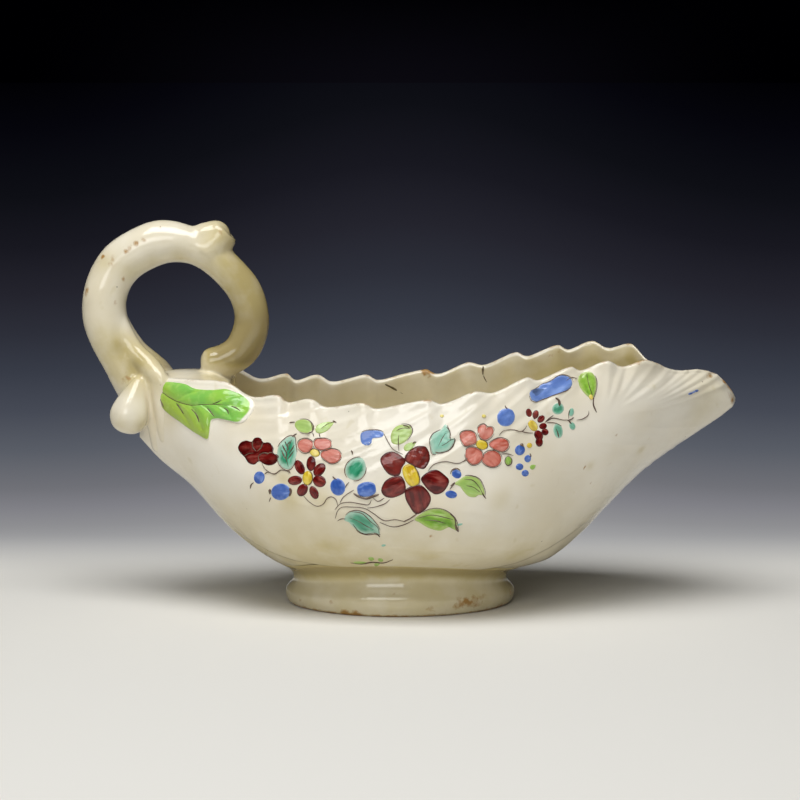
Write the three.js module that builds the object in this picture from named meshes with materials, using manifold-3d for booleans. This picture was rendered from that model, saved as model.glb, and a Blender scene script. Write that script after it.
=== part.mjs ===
// A leaf-moulded sauceboat with a twig handle, in millimetres, +Z up.
// +X runs towards the spout and z = 0 is the table. Right is the -Y side and left is the +Y side,
// as seen by someone who holds the handle and looks along the spout.
//
// The bowl is two press-moulded half shells that meet on the plane y = 0. The foot ring, the bridge
// across the back of the rim, the twig handle, its knop, side twigs, buds and leaf sprigs are made
// apart and joined on with slip, so each is a solid of its own with a thin joint around it.

import * as THREE from 'three';
import { mergeVertices } from 'three/addons/utils/BufferGeometryUtils.js';
import Module from 'manifold-3d';

const wasm = await Module();
wasm.setup();

// Joints
const JOINT = 0.3; // thickness of the slip joint between two luted pieces

// Bowl: reaches are measured from the foot's centre, heights from the seat on top of the foot
const SPOUT_REACH = 97.8;
const BACK_REACH = 76;
const BOWL_HALF_WIDTH = 43;
const BACK_KEEL = 38.5; // the keel's height at the back
const LIP_POINT = 49.1; // the keel's height at the tip of the lip
const BACK_RIM = 57; // the rim's heights: at the back, at its lowest, at its highest and at the lip
const WAIST_RIM = 52;
const CREST_RIM = 63.6;
const LIP_RIM = 59.6;
const LIP_EDGE = 1.1; // how far the rim stands above the keel at the very tip
const SCALLOP_HEIGHT = 2.1; // from the notch to the crest of a scallop
const SCALLOP_FLARE = 1.2; // how far a crest stands out sideways from a notch
const WALL = 3.4;
const RIM_WALL = 2.4;
const LIP_WALL = 1.6;

// Foot ring
const FOOT_HEIGHT = 9.6; // from the table to the seat of the bowl
const FOOT_HALF_LENGTH = 33.6;
const FOOT_HALF_WIDTH = 27.5;
const FOOT_WALL = 5.2;
const FOOT_NECK = 2.3; // how far the neck is drawn in from the bulge
const FOOT_BULGE_HEIGHT = 2.8;
const FOOT_EDGE = 1.3; // roundness of the bottom edges
const FOOT_SIDE_LIFT = 0.45; // how much taller the band and neck are at the sides than at the ends

// Bridge across the back of the rim
const BRIDGE_START = 5.5; // from the back of the bowl
const BRIDGE_END = 29;
const BRIDGE_THICKNESS = 3.6;
const BRIDGE_CROWN = 1.4; // how far its middle stands above the rim

// Twig handle: radii of the stalk at its root, its bend and its tip
const STALK_ROOT_RADIUS = 6.1;
const STALK_BEND_RADIUS = 6.2;
const STALK_FRONT_RADIUS = 4.7;
const STALK_TIP_RADIUS = 4.5;
const KNOP_RADIUS = 4.1;
const KNOP_REACH = 9.6; // from the stalk's centre line to the cut end
const TWIG_RADIUS = 3.6;
const TWIG_TIP_RADIUS = 2.3;

// Buds and leaf sprigs
const BUD_LENGTH = 17;
const BUD_RADIUS = 5.4;
const LEAF_THICKNESS = 1.3;
const LEAF_EDGE_THICKNESS = 0.6;

// Outlines of the bowl as [share of the reach, share of the size], negative towards the back
const KEEL_SHARES_TO_SPOUT = [[0, 0], [0.3, 0.004], [0.425, 0.042], [0.484, 0.109], [0.529, 0.186],
  [0.567, 0.257], [0.613, 0.36], [0.661, 0.468], [0.72, 0.58], [0.792, 0.687], [0.87, 0.793],
  [0.93, 0.875], [0.968, 0.93], [1, 1]];
const KEEL_SHARES_TO_BACK = [[0, 0], [0.38, 0.004], [0.45, 0.035], [0.525, 0.109], [0.604, 0.221],
  [0.659, 0.317], [0.722, 0.46], [0.801, 0.634], [0.926, 0.839], [1, 1]];
const WIDEST_SHARES = [[-1, 0.04], [-0.97, 0.13], [-0.92, 0.22], [-0.84, 0.35], [-0.74, 0.5], [-0.63, 0.63],
  [-0.53, 0.735], [-0.4, 0.825], [-0.2, 0.93], [0, 0.985], [0.12, 1], [0.25, 0.965], [0.37, 0.885],
  [0.49, 0.79], [0.6, 0.715], [0.7, 0.61], [0.8, 0.455], [0.86, 0.34], [0.92, 0.235], [0.96, 0.16],
  [0.985, 0.1], [1, 0.03]];
const RIM_SHARES = [[-1, 0.035], [-0.97, 0.12], [-0.92, 0.2], [-0.84, 0.29], [-0.74, 0.385],
  [-0.66, 0.46], [-0.59, 0.525], [-0.47, 0.635], [-0.35, 0.71], [-0.2, 0.8], [0, 0.885], [0.12, 0.905],
  [0.25, 0.88], [0.37, 0.8], [0.49, 0.715], [0.6, 0.665], [0.65, 0.625], [0.69, 0.575], [0.73, 0.51],
  [0.77, 0.43], [0.81, 0.35], [0.85, 0.278], [0.89, 0.212], [0.93, 0.152], [0.96, 0.108],
  [0.985, 0.068], [1, 0.022]];
const WIDEST_LEVEL_SHARES = [[-1, 0.73], [-0.8, 0.59], [-0.6, 0.555], [-0.4, 0.525], [0, 0.49], [0.15, 0.5],
  [0.3, 0.57], [0.42, 0.65], [0.55, 0.7], [0.7, 0.66], [0.8, 0.72], [0.88, 0.74], [0.95, 0.7], [1, 0.6]];
const FULLNESS_BY_SHARE = [[-1, 1.9], [-0.6, 1.9], [-0.3, 2.2], [0, 2.35], [0.25, 2.3], [0.5, 1.9],
  [0.7, 1.75], [0.9, 1.8], [1, 2]];
const CREST_SHARES = [-0.475, -0.355, -0.145, 0.066, 0.21, 0.36, 0.487, 0.594, 0.706];
const NOTCH_SHARES = [-0.55, -0.43, -0.28, -0.09, 0.112, 0.265, 0.395, 0.52, 0.64, 0.785];
const UPPER_LEAN = 1.8; // how late the wall above the widest line leans in towards the rim

// Centre lines of the handle in the plane y = 0, as [towards the spout, up] from the back of the rim
const STALK_LINE = [[5, -11.5], [-0.1, -4.2], [-4.6, 4.6], [-8.7, 12.7], [-9.8, 21.5], [-8.2, 27.4],
  [-4.4, 32.6], [2, 36.9], [8, 38.6], [14.6, 37.8], [21.3, 34.6], [26.7, 29.8], [30.8, 23.8],
  [32.7, 17.6], [32.2, 12], [29.7, 6.9], [25.2, 4], [20.7, 3.1]];
const KNOP_SHARE = 0.62; // where the knop leaves the stalk, as a share of its centre line
const KNOP_TILT = 50; // degrees above level, towards the spout
const TWIG_LINE = [[-6.4, 1.5, 18], [-4, 2.8, 11], [-0.6, 5.2, 4.8], [3.6, 8.2, 1.2], [6.6, 10.3, -0.8]];

// Bud and leaf places, as [towards the spout, outwards, up] from the back of the rim
const BUD_LOW_END = [-3.4, 9.2, -16.2];
const BUD_HIGH_END = [1.4, 5.6, -0.6];
const LEAF_MIDRIB = [[6.6, -1.6], [13, -3.6], [20, -5.4], [27, -6.6], [34, -7]];
const LEAF_UPPER = [[0, 0.3], [0.15, 2.1], [0.35, 2.5], [0.55, 3.2], [0.78, 4], [0.92, 2.9], [1, 0.4]];
const LEAF_LOWER = [[0, 0.3], [0.15, 2.9], [0.32, 6.6], [0.47, 9.8], [0.54, 8], [0.6, 4.6],
  [0.78, 4.6], [0.92, 3.4], [1, 0.4]];

// Fineness of the faceted solids
const STATION_STEP = 4.4;
const SECTION_LOW_STEPS = 7;
const SECTION_HIGH_STEPS = 4;
const FOOT_SIDES = 44;
const STALK_STEPS = 40;
const STALK_SIDES = 12;
const TWIG_STEPS = 9;
const TWIG_SIDES = 10;
const BUD_SIDES = 12;
const LEAF_STEPS = 11;
const LEAF_ACROSS = 3; // cells on each side of the midrib

const BISCUIT = 0xe6e0cf;
const GLAZE = { roughness: 0.18, metalness: 0 };

// Monotone cubic through [x, y] points: no overshoot between them, level beyond them
function smoothCurve(points) {
  const steps = points.slice(1).map((point, i) => point[0] - points[i][0]);
  const slopes = steps.map((step, i) => (points[i + 1][1] - points[i][1]) / step);
  const tangents = points.map((point, i) => {
    const before = slopes[i - 1];
    const after = slopes[i];
    if (before === undefined) return after;
    if (after === undefined) return before;
    if (before * after <= 0) return 0;
    const weightBefore = 2 * steps[i] + steps[i - 1];
    const weightAfter = steps[i] + 2 * steps[i - 1];
    return (weightBefore + weightAfter) / (weightBefore / before + weightAfter / after);
  });
  return (x) => {
    if (x <= points[0][0]) return points[0][1];
    if (x >= points.at(-1)[0]) return points.at(-1)[1];
    const i = points.findIndex((point) => point[0] > x) - 1;
    const t = (x - points[i][0]) / steps[i];
    const rise = points[i + 1][1] - points[i][1];
    const bendIn = (1 - t) * (tangents[i] * steps[i] - rise);
    const bendOut = t * (rise - tangents[i + 1] * steps[i]);
    return points[i][1] + t * rise + t * (1 - t) * (bendIn + bendOut);
  };
}

const mix = (a, b, share) => a + (b - a) * share;
const share = (x) => x / (x < 0 ? BACK_REACH : SPOUT_REACH);

// The bowl's outlines as functions of x, with heights measured from the seat
const keelToSpout = smoothCurve(KEEL_SHARES_TO_SPOUT);
const keelToBack = smoothCurve(KEEL_SHARES_TO_BACK);
const widest = smoothCurve(WIDEST_SHARES);
const rimPlan = smoothCurve(RIM_SHARES);
const widestHeight = smoothCurve(WIDEST_LEVEL_SHARES);
const fullness = smoothCurve(FULLNESS_BY_SHARE);
const rimSweep = smoothCurve([
  [-1, BACK_RIM], [-0.67, BACK_RIM], [-0.55, mix(WAIST_RIM, BACK_RIM, 0.42)],
  [-0.4, mix(WAIST_RIM, BACK_RIM, 0.2)], [-0.2, WAIST_RIM], [0, mix(WAIST_RIM, CREST_RIM, 0.06)],
  [0.15, mix(WAIST_RIM, CREST_RIM, 0.2)], [0.3, mix(WAIST_RIM, CREST_RIM, 0.48)],
  [0.45, mix(WAIST_RIM, CREST_RIM, 0.77)], [0.6, mix(WAIST_RIM, CREST_RIM, 0.96)],
  [0.7, mix(WAIST_RIM, CREST_RIM, 0.93)], [0.75, mix(LIP_RIM, CREST_RIM, 0.7)],
  [0.785, mix(LIP_RIM, CREST_RIM, 0.43)], [0.81, mix(LIP_RIM, CREST_RIM, 0.18)], [0.835, LIP_RIM],
  [0.87, LIP_RIM], [0.91, mix(LIP_POINT + LIP_EDGE, LIP_RIM, 0.91)],
  [0.937, mix(LIP_POINT + LIP_EDGE, LIP_RIM, 0.8)], [0.967, mix(LIP_POINT + LIP_EDGE, LIP_RIM, 0.51)],
  [0.988, mix(LIP_POINT + LIP_EDGE, LIP_RIM, 0.22)], [1, LIP_POINT + LIP_EDGE],
]);
const scallop = smoothCurve([
  ...CREST_SHARES.map((crest) => [crest, 0.5]),
  ...NOTCH_SHARES.map((notch) => [notch, -0.5]),
  [NOTCH_SHARES[0] - 0.08, 0], [NOTCH_SHARES.at(-1) + 0.05, 0],
].sort((a, b) => a[0] - b[0]));

function keelHeight(x) {
  return x < 0 ? BACK_KEEL * keelToBack(-share(x)) : LIP_POINT * keelToSpout(share(x));
}

function rimHeight(x) {
  return rimSweep(share(x)) + SCALLOP_HEIGHT * scallop(share(x));
}

// Wall thickness below the rim, thinning out towards the lip
function wallAt(x, thick) {
  return mix(thick, LIP_WALL, THREE.MathUtils.smoothstep(share(x), 0.55, 0.9));
}

// A value moved inwards by a wall all along x, as the inside of a mould follows its outside
function insetAlong(outline, x, wall, direction) {
  const SAMPLES = 6;
  let value = -Infinity;
  for (let i = -SAMPLES; i <= SAMPLES; i++) {
    const shift = (wall * i) / SAMPLES;
    const depth = Math.sqrt(Math.max(0, wall * wall - shift * shift));
    value = Math.max(value, direction * outline(x + shift) + depth);
  }
  return direction * value;
}

// The five numbers that set a cross section: keel, rim and widest line.
// Growth is positive for a solid that stands proud of the bowl, as a cutter for its neighbours does.
function outerSection(x, growth = 0) {
  const keel = keelHeight(x);
  const sweep = rimSweep(share(x));
  return {
    keel: keel - growth,
    rim: rimHeight(x) + growth,
    middle: mix(keel, sweep, widestHeight(share(x))),
    halfWidest: BOWL_HALF_WIDTH * widest(share(x)) + growth,
    halfRim: BOWL_HALF_WIDTH * rimPlan(share(x)) + SCALLOP_FLARE * scallop(share(x)) + growth,
    fullness: fullness(share(x)),
  };
}

function innerSection(x) {
  const wall = wallAt(x, WALL);
  const outer = outerSection(x);
  return {
    ...outer,
    keel: insetAlong((at) => keelHeight(at), x, wall, 1),
    halfWidest: insetAlong((at) => outerSection(at).halfWidest, x, wall, -1),
    halfRim: insetAlong((at) => outerSection(at).halfRim, x, wallAt(x, RIM_WALL), -1),
  };
}

// Half the bowl's width at a height, on a section
function halfWidthAt(section, height) {
  if (height < section.middle) {
    const drop = (section.middle - height) / (section.middle - section.keel);
    const roundness = Math.max(0, 1 - Math.pow(drop, section.fullness));
    return section.halfWidest * Math.pow(roundness, 1 / section.fullness);
  }
  const lift = (height - section.middle) / (section.rim - section.middle);
  return mix(section.halfWidest, section.halfRim, Math.pow(lift, UPPER_LEAN));
}

// Points of a section from the keel up to the rim, as [half width, height above the table]
function sectionPoints(section) {
  const points = [];
  for (let i = 0; i <= SECTION_LOW_STEPS; i++) {
    const angle = (Math.PI / 2) * (i / SECTION_LOW_STEPS);
    const drop = Math.pow(Math.cos(angle), 2 / section.fullness);
    points.push([
      section.halfWidest * Math.pow(Math.sin(angle), 2 / section.fullness),
      FOOT_HEIGHT + section.middle - (section.middle - section.keel) * drop,
    ]);
  }
  for (let i = 1; i <= SECTION_HIGH_STEPS; i++) {
    const height = mix(section.middle, section.rim, i / SECTION_HIGH_STEPS);
    points.push([halfWidthAt(section, height), FOOT_HEIGHT + height]);
  }
  return points;
}

// Stations along the bowl: every crest and notch, with the gaps between them filled evenly
function stations(from, to) {
  const marks = [...CREST_SHARES, ...NOTCH_SHARES, -0.97, -0.92, 0.75, 0.82, 0.87, 0.92, 0.96, 0.985]
    .map((mark) => mark * (mark < 0 ? BACK_REACH : SPOUT_REACH))
    .filter((x) => x > from + 0.5 && x < to - 0.5);
  const ends = [from, ...marks.sort((a, b) => a - b), to];
  const list = [];
  for (let i = 0; i < ends.length - 1; i++) {
    const steps = Math.ceil((ends[i + 1] - ends[i]) / STATION_STEP);
    for (let k = 0; k < steps; k++) list.push(mix(ends[i], ends[i + 1], k / steps));
  }
  return [...list, to];
}

// Closed body from rings of points of equal number, its two ends closed by a fan about their middle
function loft(rings) {
  const count = rings[0].length;
  const vertices = rings.flat();
  const triangles = [];
  for (let i = 0; i < rings.length - 1; i++) {
    for (let j = 0; j < count; j++) {
      const a = i * count + j;
      const b = i * count + ((j + 1) % count);
      triangles.push([a, b, b + count], [a, b + count, a + count]);
    }
  }
  const ends = [[0, false], [(rings.length - 1) * count, true]];
  for (const [first, turned] of ends) {
    const middle = new THREE.Vector3();
    for (let j = 0; j < count; j++) middle.addScaledVector(vertices[first + j], 1 / count);
    vertices.push(middle);
    for (let j = 0; j < count; j++) {
      const a = first + j;
      const b = first + ((j + 1) % count);
      triangles.push(turned ? [a, b, vertices.length - 1] : [b, a, vertices.length - 1]);
    }
  }
  return closedGeometry(vertices, triangles);
}

// Geometry with shared corners whose faces point outwards, whichever way its rings ran
function closedGeometry(vertices, triangles) {
  let volume = 0;
  for (const [a, b, c] of triangles) {
    volume += vertices[a].dot(new THREE.Vector3().crossVectors(vertices[b], vertices[c]));
  }
  const index = triangles.flatMap(([a, b, c]) => (volume > 0 ? [a, b, c] : [a, c, b]));
  const geometry = new THREE.BufferGeometry().setFromPoints(vertices);
  geometry.setIndex(index);
  return geometry;
}

function toSolid(geometry) {
  const bare = geometry.clone();
  bare.deleteAttribute('normal');
  bare.deleteAttribute('uv');
  const merged = mergeVertices(bare, 1e-4);
  return new wasm.Manifold(new wasm.Mesh({
    numProp: 3,
    vertProperties: new Float32Array(merged.attributes.position.array),
    triVerts: new Uint32Array(merged.index.array),
  }));
}

function toGeometry(solid) {
  const mesh = solid.getMesh();
  const geometry = new THREE.BufferGeometry();
  geometry.setAttribute('position', new THREE.BufferAttribute(new Float32Array(mesh.vertProperties), 3));
  geometry.setIndex(new THREE.BufferAttribute(new Uint32Array(mesh.triVerts), 1));
  return geometry;
}

// The same piece on the other side of the plane y = 0
function mirrored(geometry) {
  const twin = geometry.clone().scale(1, -1, 1);
  const index = twin.index.array;
  for (let i = 0; i < index.length; i += 3) {
    [index[i + 1], index[i + 2]] = [index[i + 2], index[i + 1]];
  }
  return twin;
}

// Right half of the bowl's outer form, filled, up to a flat lid at the rim's height
function filledHalf() {
  return toSolid(loft(stations(-BACK_REACH, SPOUT_REACH).map((x) => {
    const ring = sectionPoints(outerSection(x)).map(([y, z]) => new THREE.Vector3(x, -y, z));
    ring.push(new THREE.Vector3(x, 0, ring.at(-1).z));
    return ring;
  })));
}

// The hollow of the right half, reaching past the seam and above the rim so that it cuts clean
function hollowHalf() {
  const PAST_SEAM = 1;
  const ABOVE_RIM = 12;
  const inner = stations(-BACK_REACH + 1.6 * WALL, SPOUT_REACH - 0.7 * LIP_WALL);
  return toSolid(loft(inner.map((x) => {
    const section = innerSection(x);
    section.halfRim = Math.max(section.halfRim, 0.4);
    section.halfWidest = Math.max(section.halfWidest, section.halfRim + 0.05);
    section.keel = Math.min(section.keel, section.rim - 0.5);
    section.middle = mix(section.keel, section.rim, widestHeight(share(x)));
    const ring = sectionPoints(section).map(([y, z]) => new THREE.Vector3(x, -y, z));
    const top = ring.at(-1).z + ABOVE_RIM;
    ring.push(new THREE.Vector3(x, ring.at(-1).y, top), new THREE.Vector3(x, PAST_SEAM, top));
    ring.push(new THREE.Vector3(x, PAST_SEAM, ring[0].z));
    return ring;
  })));
}

// The whole bowl's outer form with a joint's thickness added, which trims what is luted to it
function bowlCutter(growth) {
  return toSolid(loft(stations(-BACK_REACH, SPOUT_REACH).map((x) => {
    const reach = x + growth * Math.sign(x) * Math.pow(Math.abs(share(x)), 4);
    const half = sectionPoints(outerSection(x, growth));
    const right = half.map(([y, z]) => new THREE.Vector3(reach, -y, z));
    const left = half.slice(1).reverse().map(([y, z]) => new THREE.Vector3(reach, y, z));
    return [...right, ...left];
  })));
}

function halfShell() {
  return toGeometry(filledHalf().subtract(hollowHalf()));
}

// Oval ring: bulging band, drawn-in neck, and a top that the bowl's underside trims
function footRing(cutter) {
  const top = 1.7 * FOOT_HEIGHT;
  const profile = [
    [FOOT_EDGE, 0], [0.3 * FOOT_EDGE, 0.4 * FOOT_EDGE], [0, FOOT_BULGE_HEIGHT],
    [0.25 * FOOT_NECK, 0.45 * FOOT_HEIGHT], [0.8 * FOOT_NECK, 0.62 * FOOT_HEIGHT],
    [FOOT_NECK, 0.76 * FOOT_HEIGHT], [0.9 * FOOT_NECK, 0.92 * FOOT_HEIGHT], [0.4 * FOOT_NECK, top],
    [FOOT_WALL + FOOT_NECK, top], [FOOT_WALL + 0.5 * FOOT_NECK, 0.6 * FOOT_HEIGHT],
    [FOOT_WALL, FOOT_EDGE], [FOOT_WALL - 0.5 * FOOT_EDGE, 0],
  ];
  const rings = [];
  for (let i = 0; i < FOOT_SIDES; i++) {
    const angle = (2 * Math.PI * i) / FOOT_SIDES;
    const lift = 1 + FOOT_SIDE_LIFT * Math.sin(angle) ** 2;
    rings.push(profile.map(([inset, z]) => new THREE.Vector3(
      (FOOT_HALF_LENGTH - inset) * Math.cos(angle), (FOOT_HALF_WIDTH - inset) * Math.sin(angle), z * lift,
    )));
  }
  const vertices = rings.flat();
  const count = profile.length;
  const triangles = [];
  for (let i = 0; i < FOOT_SIDES; i++) {
    const next = ((i + 1) % FOOT_SIDES) * count;
    for (let j = 0; j < count; j++) {
      const k = (j + 1) % count;
      triangles.push([i * count + j, next + j, next + k], [i * count + j, next + k, i * count + k]);
    }
  }
  return toSolid(closedGeometry(vertices, triangles)).subtract(cutter);
}

// Height of the bridge's top above the table, at a distance from the back of the bowl
function bridgeTop(fromBack) {
  const x = fromBack - BACK_REACH;
  const swell = Math.sin(Math.PI * THREE.MathUtils.clamp(fromBack / BRIDGE_END, 0.25, 0.75));
  return FOOT_HEIGHT + rimSweep(share(x)) + BRIDGE_CROWN * swell;
}

// Plate between the two walls at the back of the rim, crowned along its middle
function rimBridge(growth = 0) {
  const STEPS = 8;
  const ACROSS = 6;
  const rings = [];
  for (let i = 0; i <= STEPS; i++) {
    const fromBack = mix(BRIDGE_START - growth, BRIDGE_END + growth, i / STEPS);
    const x = fromBack - BACK_REACH;
    const section = innerSection(x);
    const edge = FOOT_HEIGHT + rimHeight(x) - 0.4;
    const top = bridgeTop(fromBack);
    const bottom = edge - BRIDGE_THICKNESS;
    const gap = JOINT - growth;
    const halfTop = Math.max(1, halfWidthAt(section, edge - FOOT_HEIGHT) - gap);
    const halfLow = Math.max(0.8, halfWidthAt(section, bottom - FOOT_HEIGHT) - gap);
    const ring = [new THREE.Vector3(x, -halfLow, bottom - growth)];
    for (let k = 0; k <= ACROSS; k++) {
      const side = (2 * k) / ACROSS - 1;
      ring.push(new THREE.Vector3(x, side * halfTop, mix(top, edge, side * side) + growth));
    }
    ring.push(new THREE.Vector3(x, halfLow, bottom - growth));
    rings.push(ring);
  }
  return toSolid(loft(rings));
}

// Rolled twig along a curve, with a radius that follows its length and rounded ends
function twig(curve, radiusAt, steps, sides, growth = 0) {
  const ROUNDING = [80, 50, 25];
  const frames = curve.computeFrenetFrames(steps, false);
  const rings = [];
  const addRing = (i, along, radius) => {
    const centre = curve.getPointAt(i / steps).addScaledVector(frames.tangents[i], along);
    const ring = [];
    for (let k = 0; k < sides; k++) {
      const angle = (2 * Math.PI * k) / sides;
      ring.push(centre.clone()
        .addScaledVector(frames.normals[i], radius * Math.cos(angle))
        .addScaledVector(frames.binormals[i], radius * Math.sin(angle)));
    }
    rings.push(ring);
  };
  const startRadius = radiusAt(0) + growth;
  const endRadius = radiusAt(1) + growth;
  for (const degrees of ROUNDING) {
    const angle = THREE.MathUtils.degToRad(degrees);
    addRing(0, -0.6 * startRadius * Math.sin(angle), startRadius * Math.cos(angle));
  }
  for (let i = 0; i <= steps; i++) addRing(i, 0, radiusAt(i / steps) + growth);
  for (const degrees of [...ROUNDING].reverse()) {
    const angle = THREE.MathUtils.degToRad(degrees);
    addRing(steps, 0.6 * endRadius * Math.sin(angle), endRadius * Math.cos(angle));
  }
  return toSolid(loft(rings));
}

// A point given as [towards the spout, outwards, up] from the back of the rim, on the right side
function fromBackRim([along, outwards, up]) {
  return new THREE.Vector3(along - BACK_REACH, -outwards, FOOT_HEIGHT + BACK_RIM + up);
}

const stalkCurve = new THREE.CatmullRomCurve3(STALK_LINE.map(([along, up]) => fromBackRim([along, 0, up])));
const stalkRadius = smoothCurve([
  [0, STALK_ROOT_RADIUS], [0.25, STALK_BEND_RADIUS], [0.5, STALK_BEND_RADIUS], [0.7, STALK_FRONT_RADIUS],
  [1, STALK_TIP_RADIUS],
]);

function stalk(growth) {
  return twig(stalkCurve, stalkRadius, STALK_STEPS, STALK_SIDES, growth);
}

// Stub of a cut side shoot, slightly dished at its end
function knop() {
  const DISH = 0.7;
  const tilt = THREE.MathUtils.degToRad(KNOP_TILT);
  const root = stalkCurve.getPointAt(KNOP_SHARE);
  const profile = [[0, 0], [KNOP_RADIUS * 1.2, 0], [KNOP_RADIUS * 1.05, 0.6 * KNOP_REACH],
    [KNOP_RADIUS, KNOP_REACH - 0.8], [KNOP_RADIUS - 0.8, KNOP_REACH], [0, KNOP_REACH - DISH]];
  const geometry = new THREE.LatheGeometry(profile.map(([r, h]) => new THREE.Vector2(r, h)), TWIG_SIDES);
  geometry.rotateX(Math.PI / 2);
  geometry.rotateY(Math.PI / 2 - tilt);
  geometry.translate(root.x, root.y, root.z);
  return toSolid(geometry);
}

// Side twig that leaves the stalk and runs down beside the bridge to its leaf, on the right
function sideTwig(growth) {
  const curve = new THREE.CatmullRomCurve3(TWIG_LINE.map(fromBackRim));
  const radius = smoothCurve([[0, TWIG_RADIUS], [0.6, TWIG_RADIUS], [1, TWIG_TIP_RADIUS]]);
  return twig(curve, radius, TWIG_STEPS, TWIG_SIDES, growth);
}

// Everything on the right of the plane y = 0, a joint's half thickness away from it
function rightSide() {
  const SIZE = 200;
  const geometry = new THREE.BoxGeometry(2 * SIZE, SIZE, 2 * SIZE);
  geometry.translate(0, -SIZE / 2 - JOINT / 2, 0);
  return toSolid(geometry);
}

// Pear-shaped flower bud that hangs beside the handle's root, on the right
function bud(growth = 0) {
  const profile = [[0, 0], [0.45, 0.02], [0.8, 0.1], [0.98, 0.25], [1, 0.36], [0.86, 0.52],
    [0.6, 0.7], [0.4, 0.86], [0.22, 0.97], [0, 1]];
  const points = profile.map(([r, h]) => new THREE.Vector2(
    r * (BUD_RADIUS + growth), h * (BUD_LENGTH + 2 * growth) - growth,
  ));
  const geometry = new THREE.LatheGeometry(points, BUD_SIDES);
  const low = fromBackRim(BUD_LOW_END);
  const direction = fromBackRim(BUD_HIGH_END).sub(low).normalize();
  geometry.applyQuaternion(new THREE.Quaternion().setFromUnitVectors(new THREE.Vector3(0, 1, 0), direction));
  geometry.translate(low.x, low.y, low.z);
  return toSolid(geometry);
}

// A point that stands off the bowl's right wall, at x and a height above the seat
function offWall(x, height, distance) {
  const STEP = 0.5;
  const width = (at, up) => halfWidthAt(outerSection(at), up);
  const slopeAlong = (width(x + STEP, height) - width(x - STEP, height)) / (2 * STEP);
  const slopeUp = (width(x, height + STEP) - width(x, height - STEP)) / (2 * STEP);
  const normal = new THREE.Vector3(-slopeAlong, -1, -slopeUp).normalize();
  return new THREE.Vector3(x, -width(x, height), FOOT_HEIGHT + height).addScaledVector(normal, distance);
}

// Lobed leaf pressed in a small mould and laid on the right wall beside the rim
function leafSprig() {
  const line = LEAF_MIDRIB.map(([along, up]) => new THREE.Vector2(along - BACK_REACH, BACK_RIM + up));
  const midrib = new THREE.SplineCurve(line);
  const upper = smoothCurve(LEAF_UPPER);
  const lower = smoothCurve(LEAF_LOWER);
  const columns = [];
  for (let i = 0; i <= LEAF_STEPS; i++) {
    const at = midrib.getPointAt(i / LEAF_STEPS);
    const tangent = midrib.getTangentAt(i / LEAF_STEPS);
    const column = [];
    for (let k = -LEAF_ACROSS; k <= LEAF_ACROSS; k++) {
      const side = k / LEAF_ACROSS;
      const reach = side < 0 ? side * lower(i / LEAF_STEPS) : side * upper(i / LEAF_STEPS);
      const swept = side < 0 ? 0.35 * -reach : 0.35 * reach;
      const x = at.x - tangent.y * reach + tangent.x * swept;
      const height = at.y + tangent.x * reach + tangent.y * swept;
      column.push([x, height, mix(LEAF_THICKNESS, LEAF_EDGE_THICKNESS, side * side)]);
    }
    columns.push(column);
  }
  return toSolid(loft(columns.map((column) => [
    ...column.map(([x, height]) => offWall(x, height, JOINT)),
    ...[...column].reverse().map(([x, height, thick]) => offWall(x, height, JOINT + thick)),
  ])));
}

function addPiece(name, geometry, colour = BISCUIT) {
  const mesh = new THREE.Mesh(geometry, new THREE.MeshStandardMaterial({ color: colour, ...GLAZE }));
  mesh.name = name;
  boat.add(mesh);
}

function addPair(name, geometry, colour = BISCUIT) {
  addPiece(`${name}_right`, geometry, colour);
  addPiece(`${name}_left`, mirrored(geometry), colour);
}

const boat = new THREE.Group();
boat.name = 'sauceboat';

const bowl = bowlCutter(JOINT);
const bridge = rimBridge();
const bridgeCutter = rimBridge(JOINT);
const handle = stalk(0).subtract(bowl).subtract(bridgeCutter);
const handleCutter = stalk(JOINT);
const sidePiece = sideTwig(0).intersect(rightSide()).subtract(bowl).subtract(bridgeCutter)
  .subtract(handleCutter);
const sideCutter = sideTwig(JOINT);
const budPiece = bud().intersect(rightSide()).subtract(bowl).subtract(handleCutter).subtract(sideCutter);
const sprig = leafSprig().subtract(sideCutter).subtract(bud(JOINT));

addPair('shell', halfShell());
addPiece('foot_ring', toGeometry(footRing(bowl)));
addPiece('rim_bridge', toGeometry(bridge));
addPiece('handle_stalk', toGeometry(handle));
addPiece('handle_knop', toGeometry(knop().subtract(handleCutter)));
addPair('side_twig', toGeometry(sidePiece));
addPair('bud', toGeometry(budPiece));
addPair('leaf_sprig', toGeometry(sprig), 0x8fbf4a);

// The origin is under the middle of the whole boat, handle and spout included
const box = new THREE.Box3().setFromObject(boat);
boat.position.set(-(box.min.x + box.max.x) / 2, 0, 0);
boat.updateMatrixWorld(true);

export default boat;
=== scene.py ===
# %% [markdown]
# # A leaf-moulded sauceboat with a twig handle
#
# The real boat is 18th-century cream pottery. Two halves of the bowl were pressed into a carved mould
# of overlapping leaves and joined along the keel. A foot ring, a rolled twig handle, buds and two small
# leaves were stuck on with slip. It was glazed, fired, painted with enamels and fired again.
#
# This lesson dresses the measured solids of that boat. Every length is worked out in millimetres from
# the middle of the foot, and turned to metres in the model's own frame only when a mesh is made.

import math

import bmesh
import bpy
import numpy as np
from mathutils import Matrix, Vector, noise
from mathutils.bvhtree import BVHTree


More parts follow.
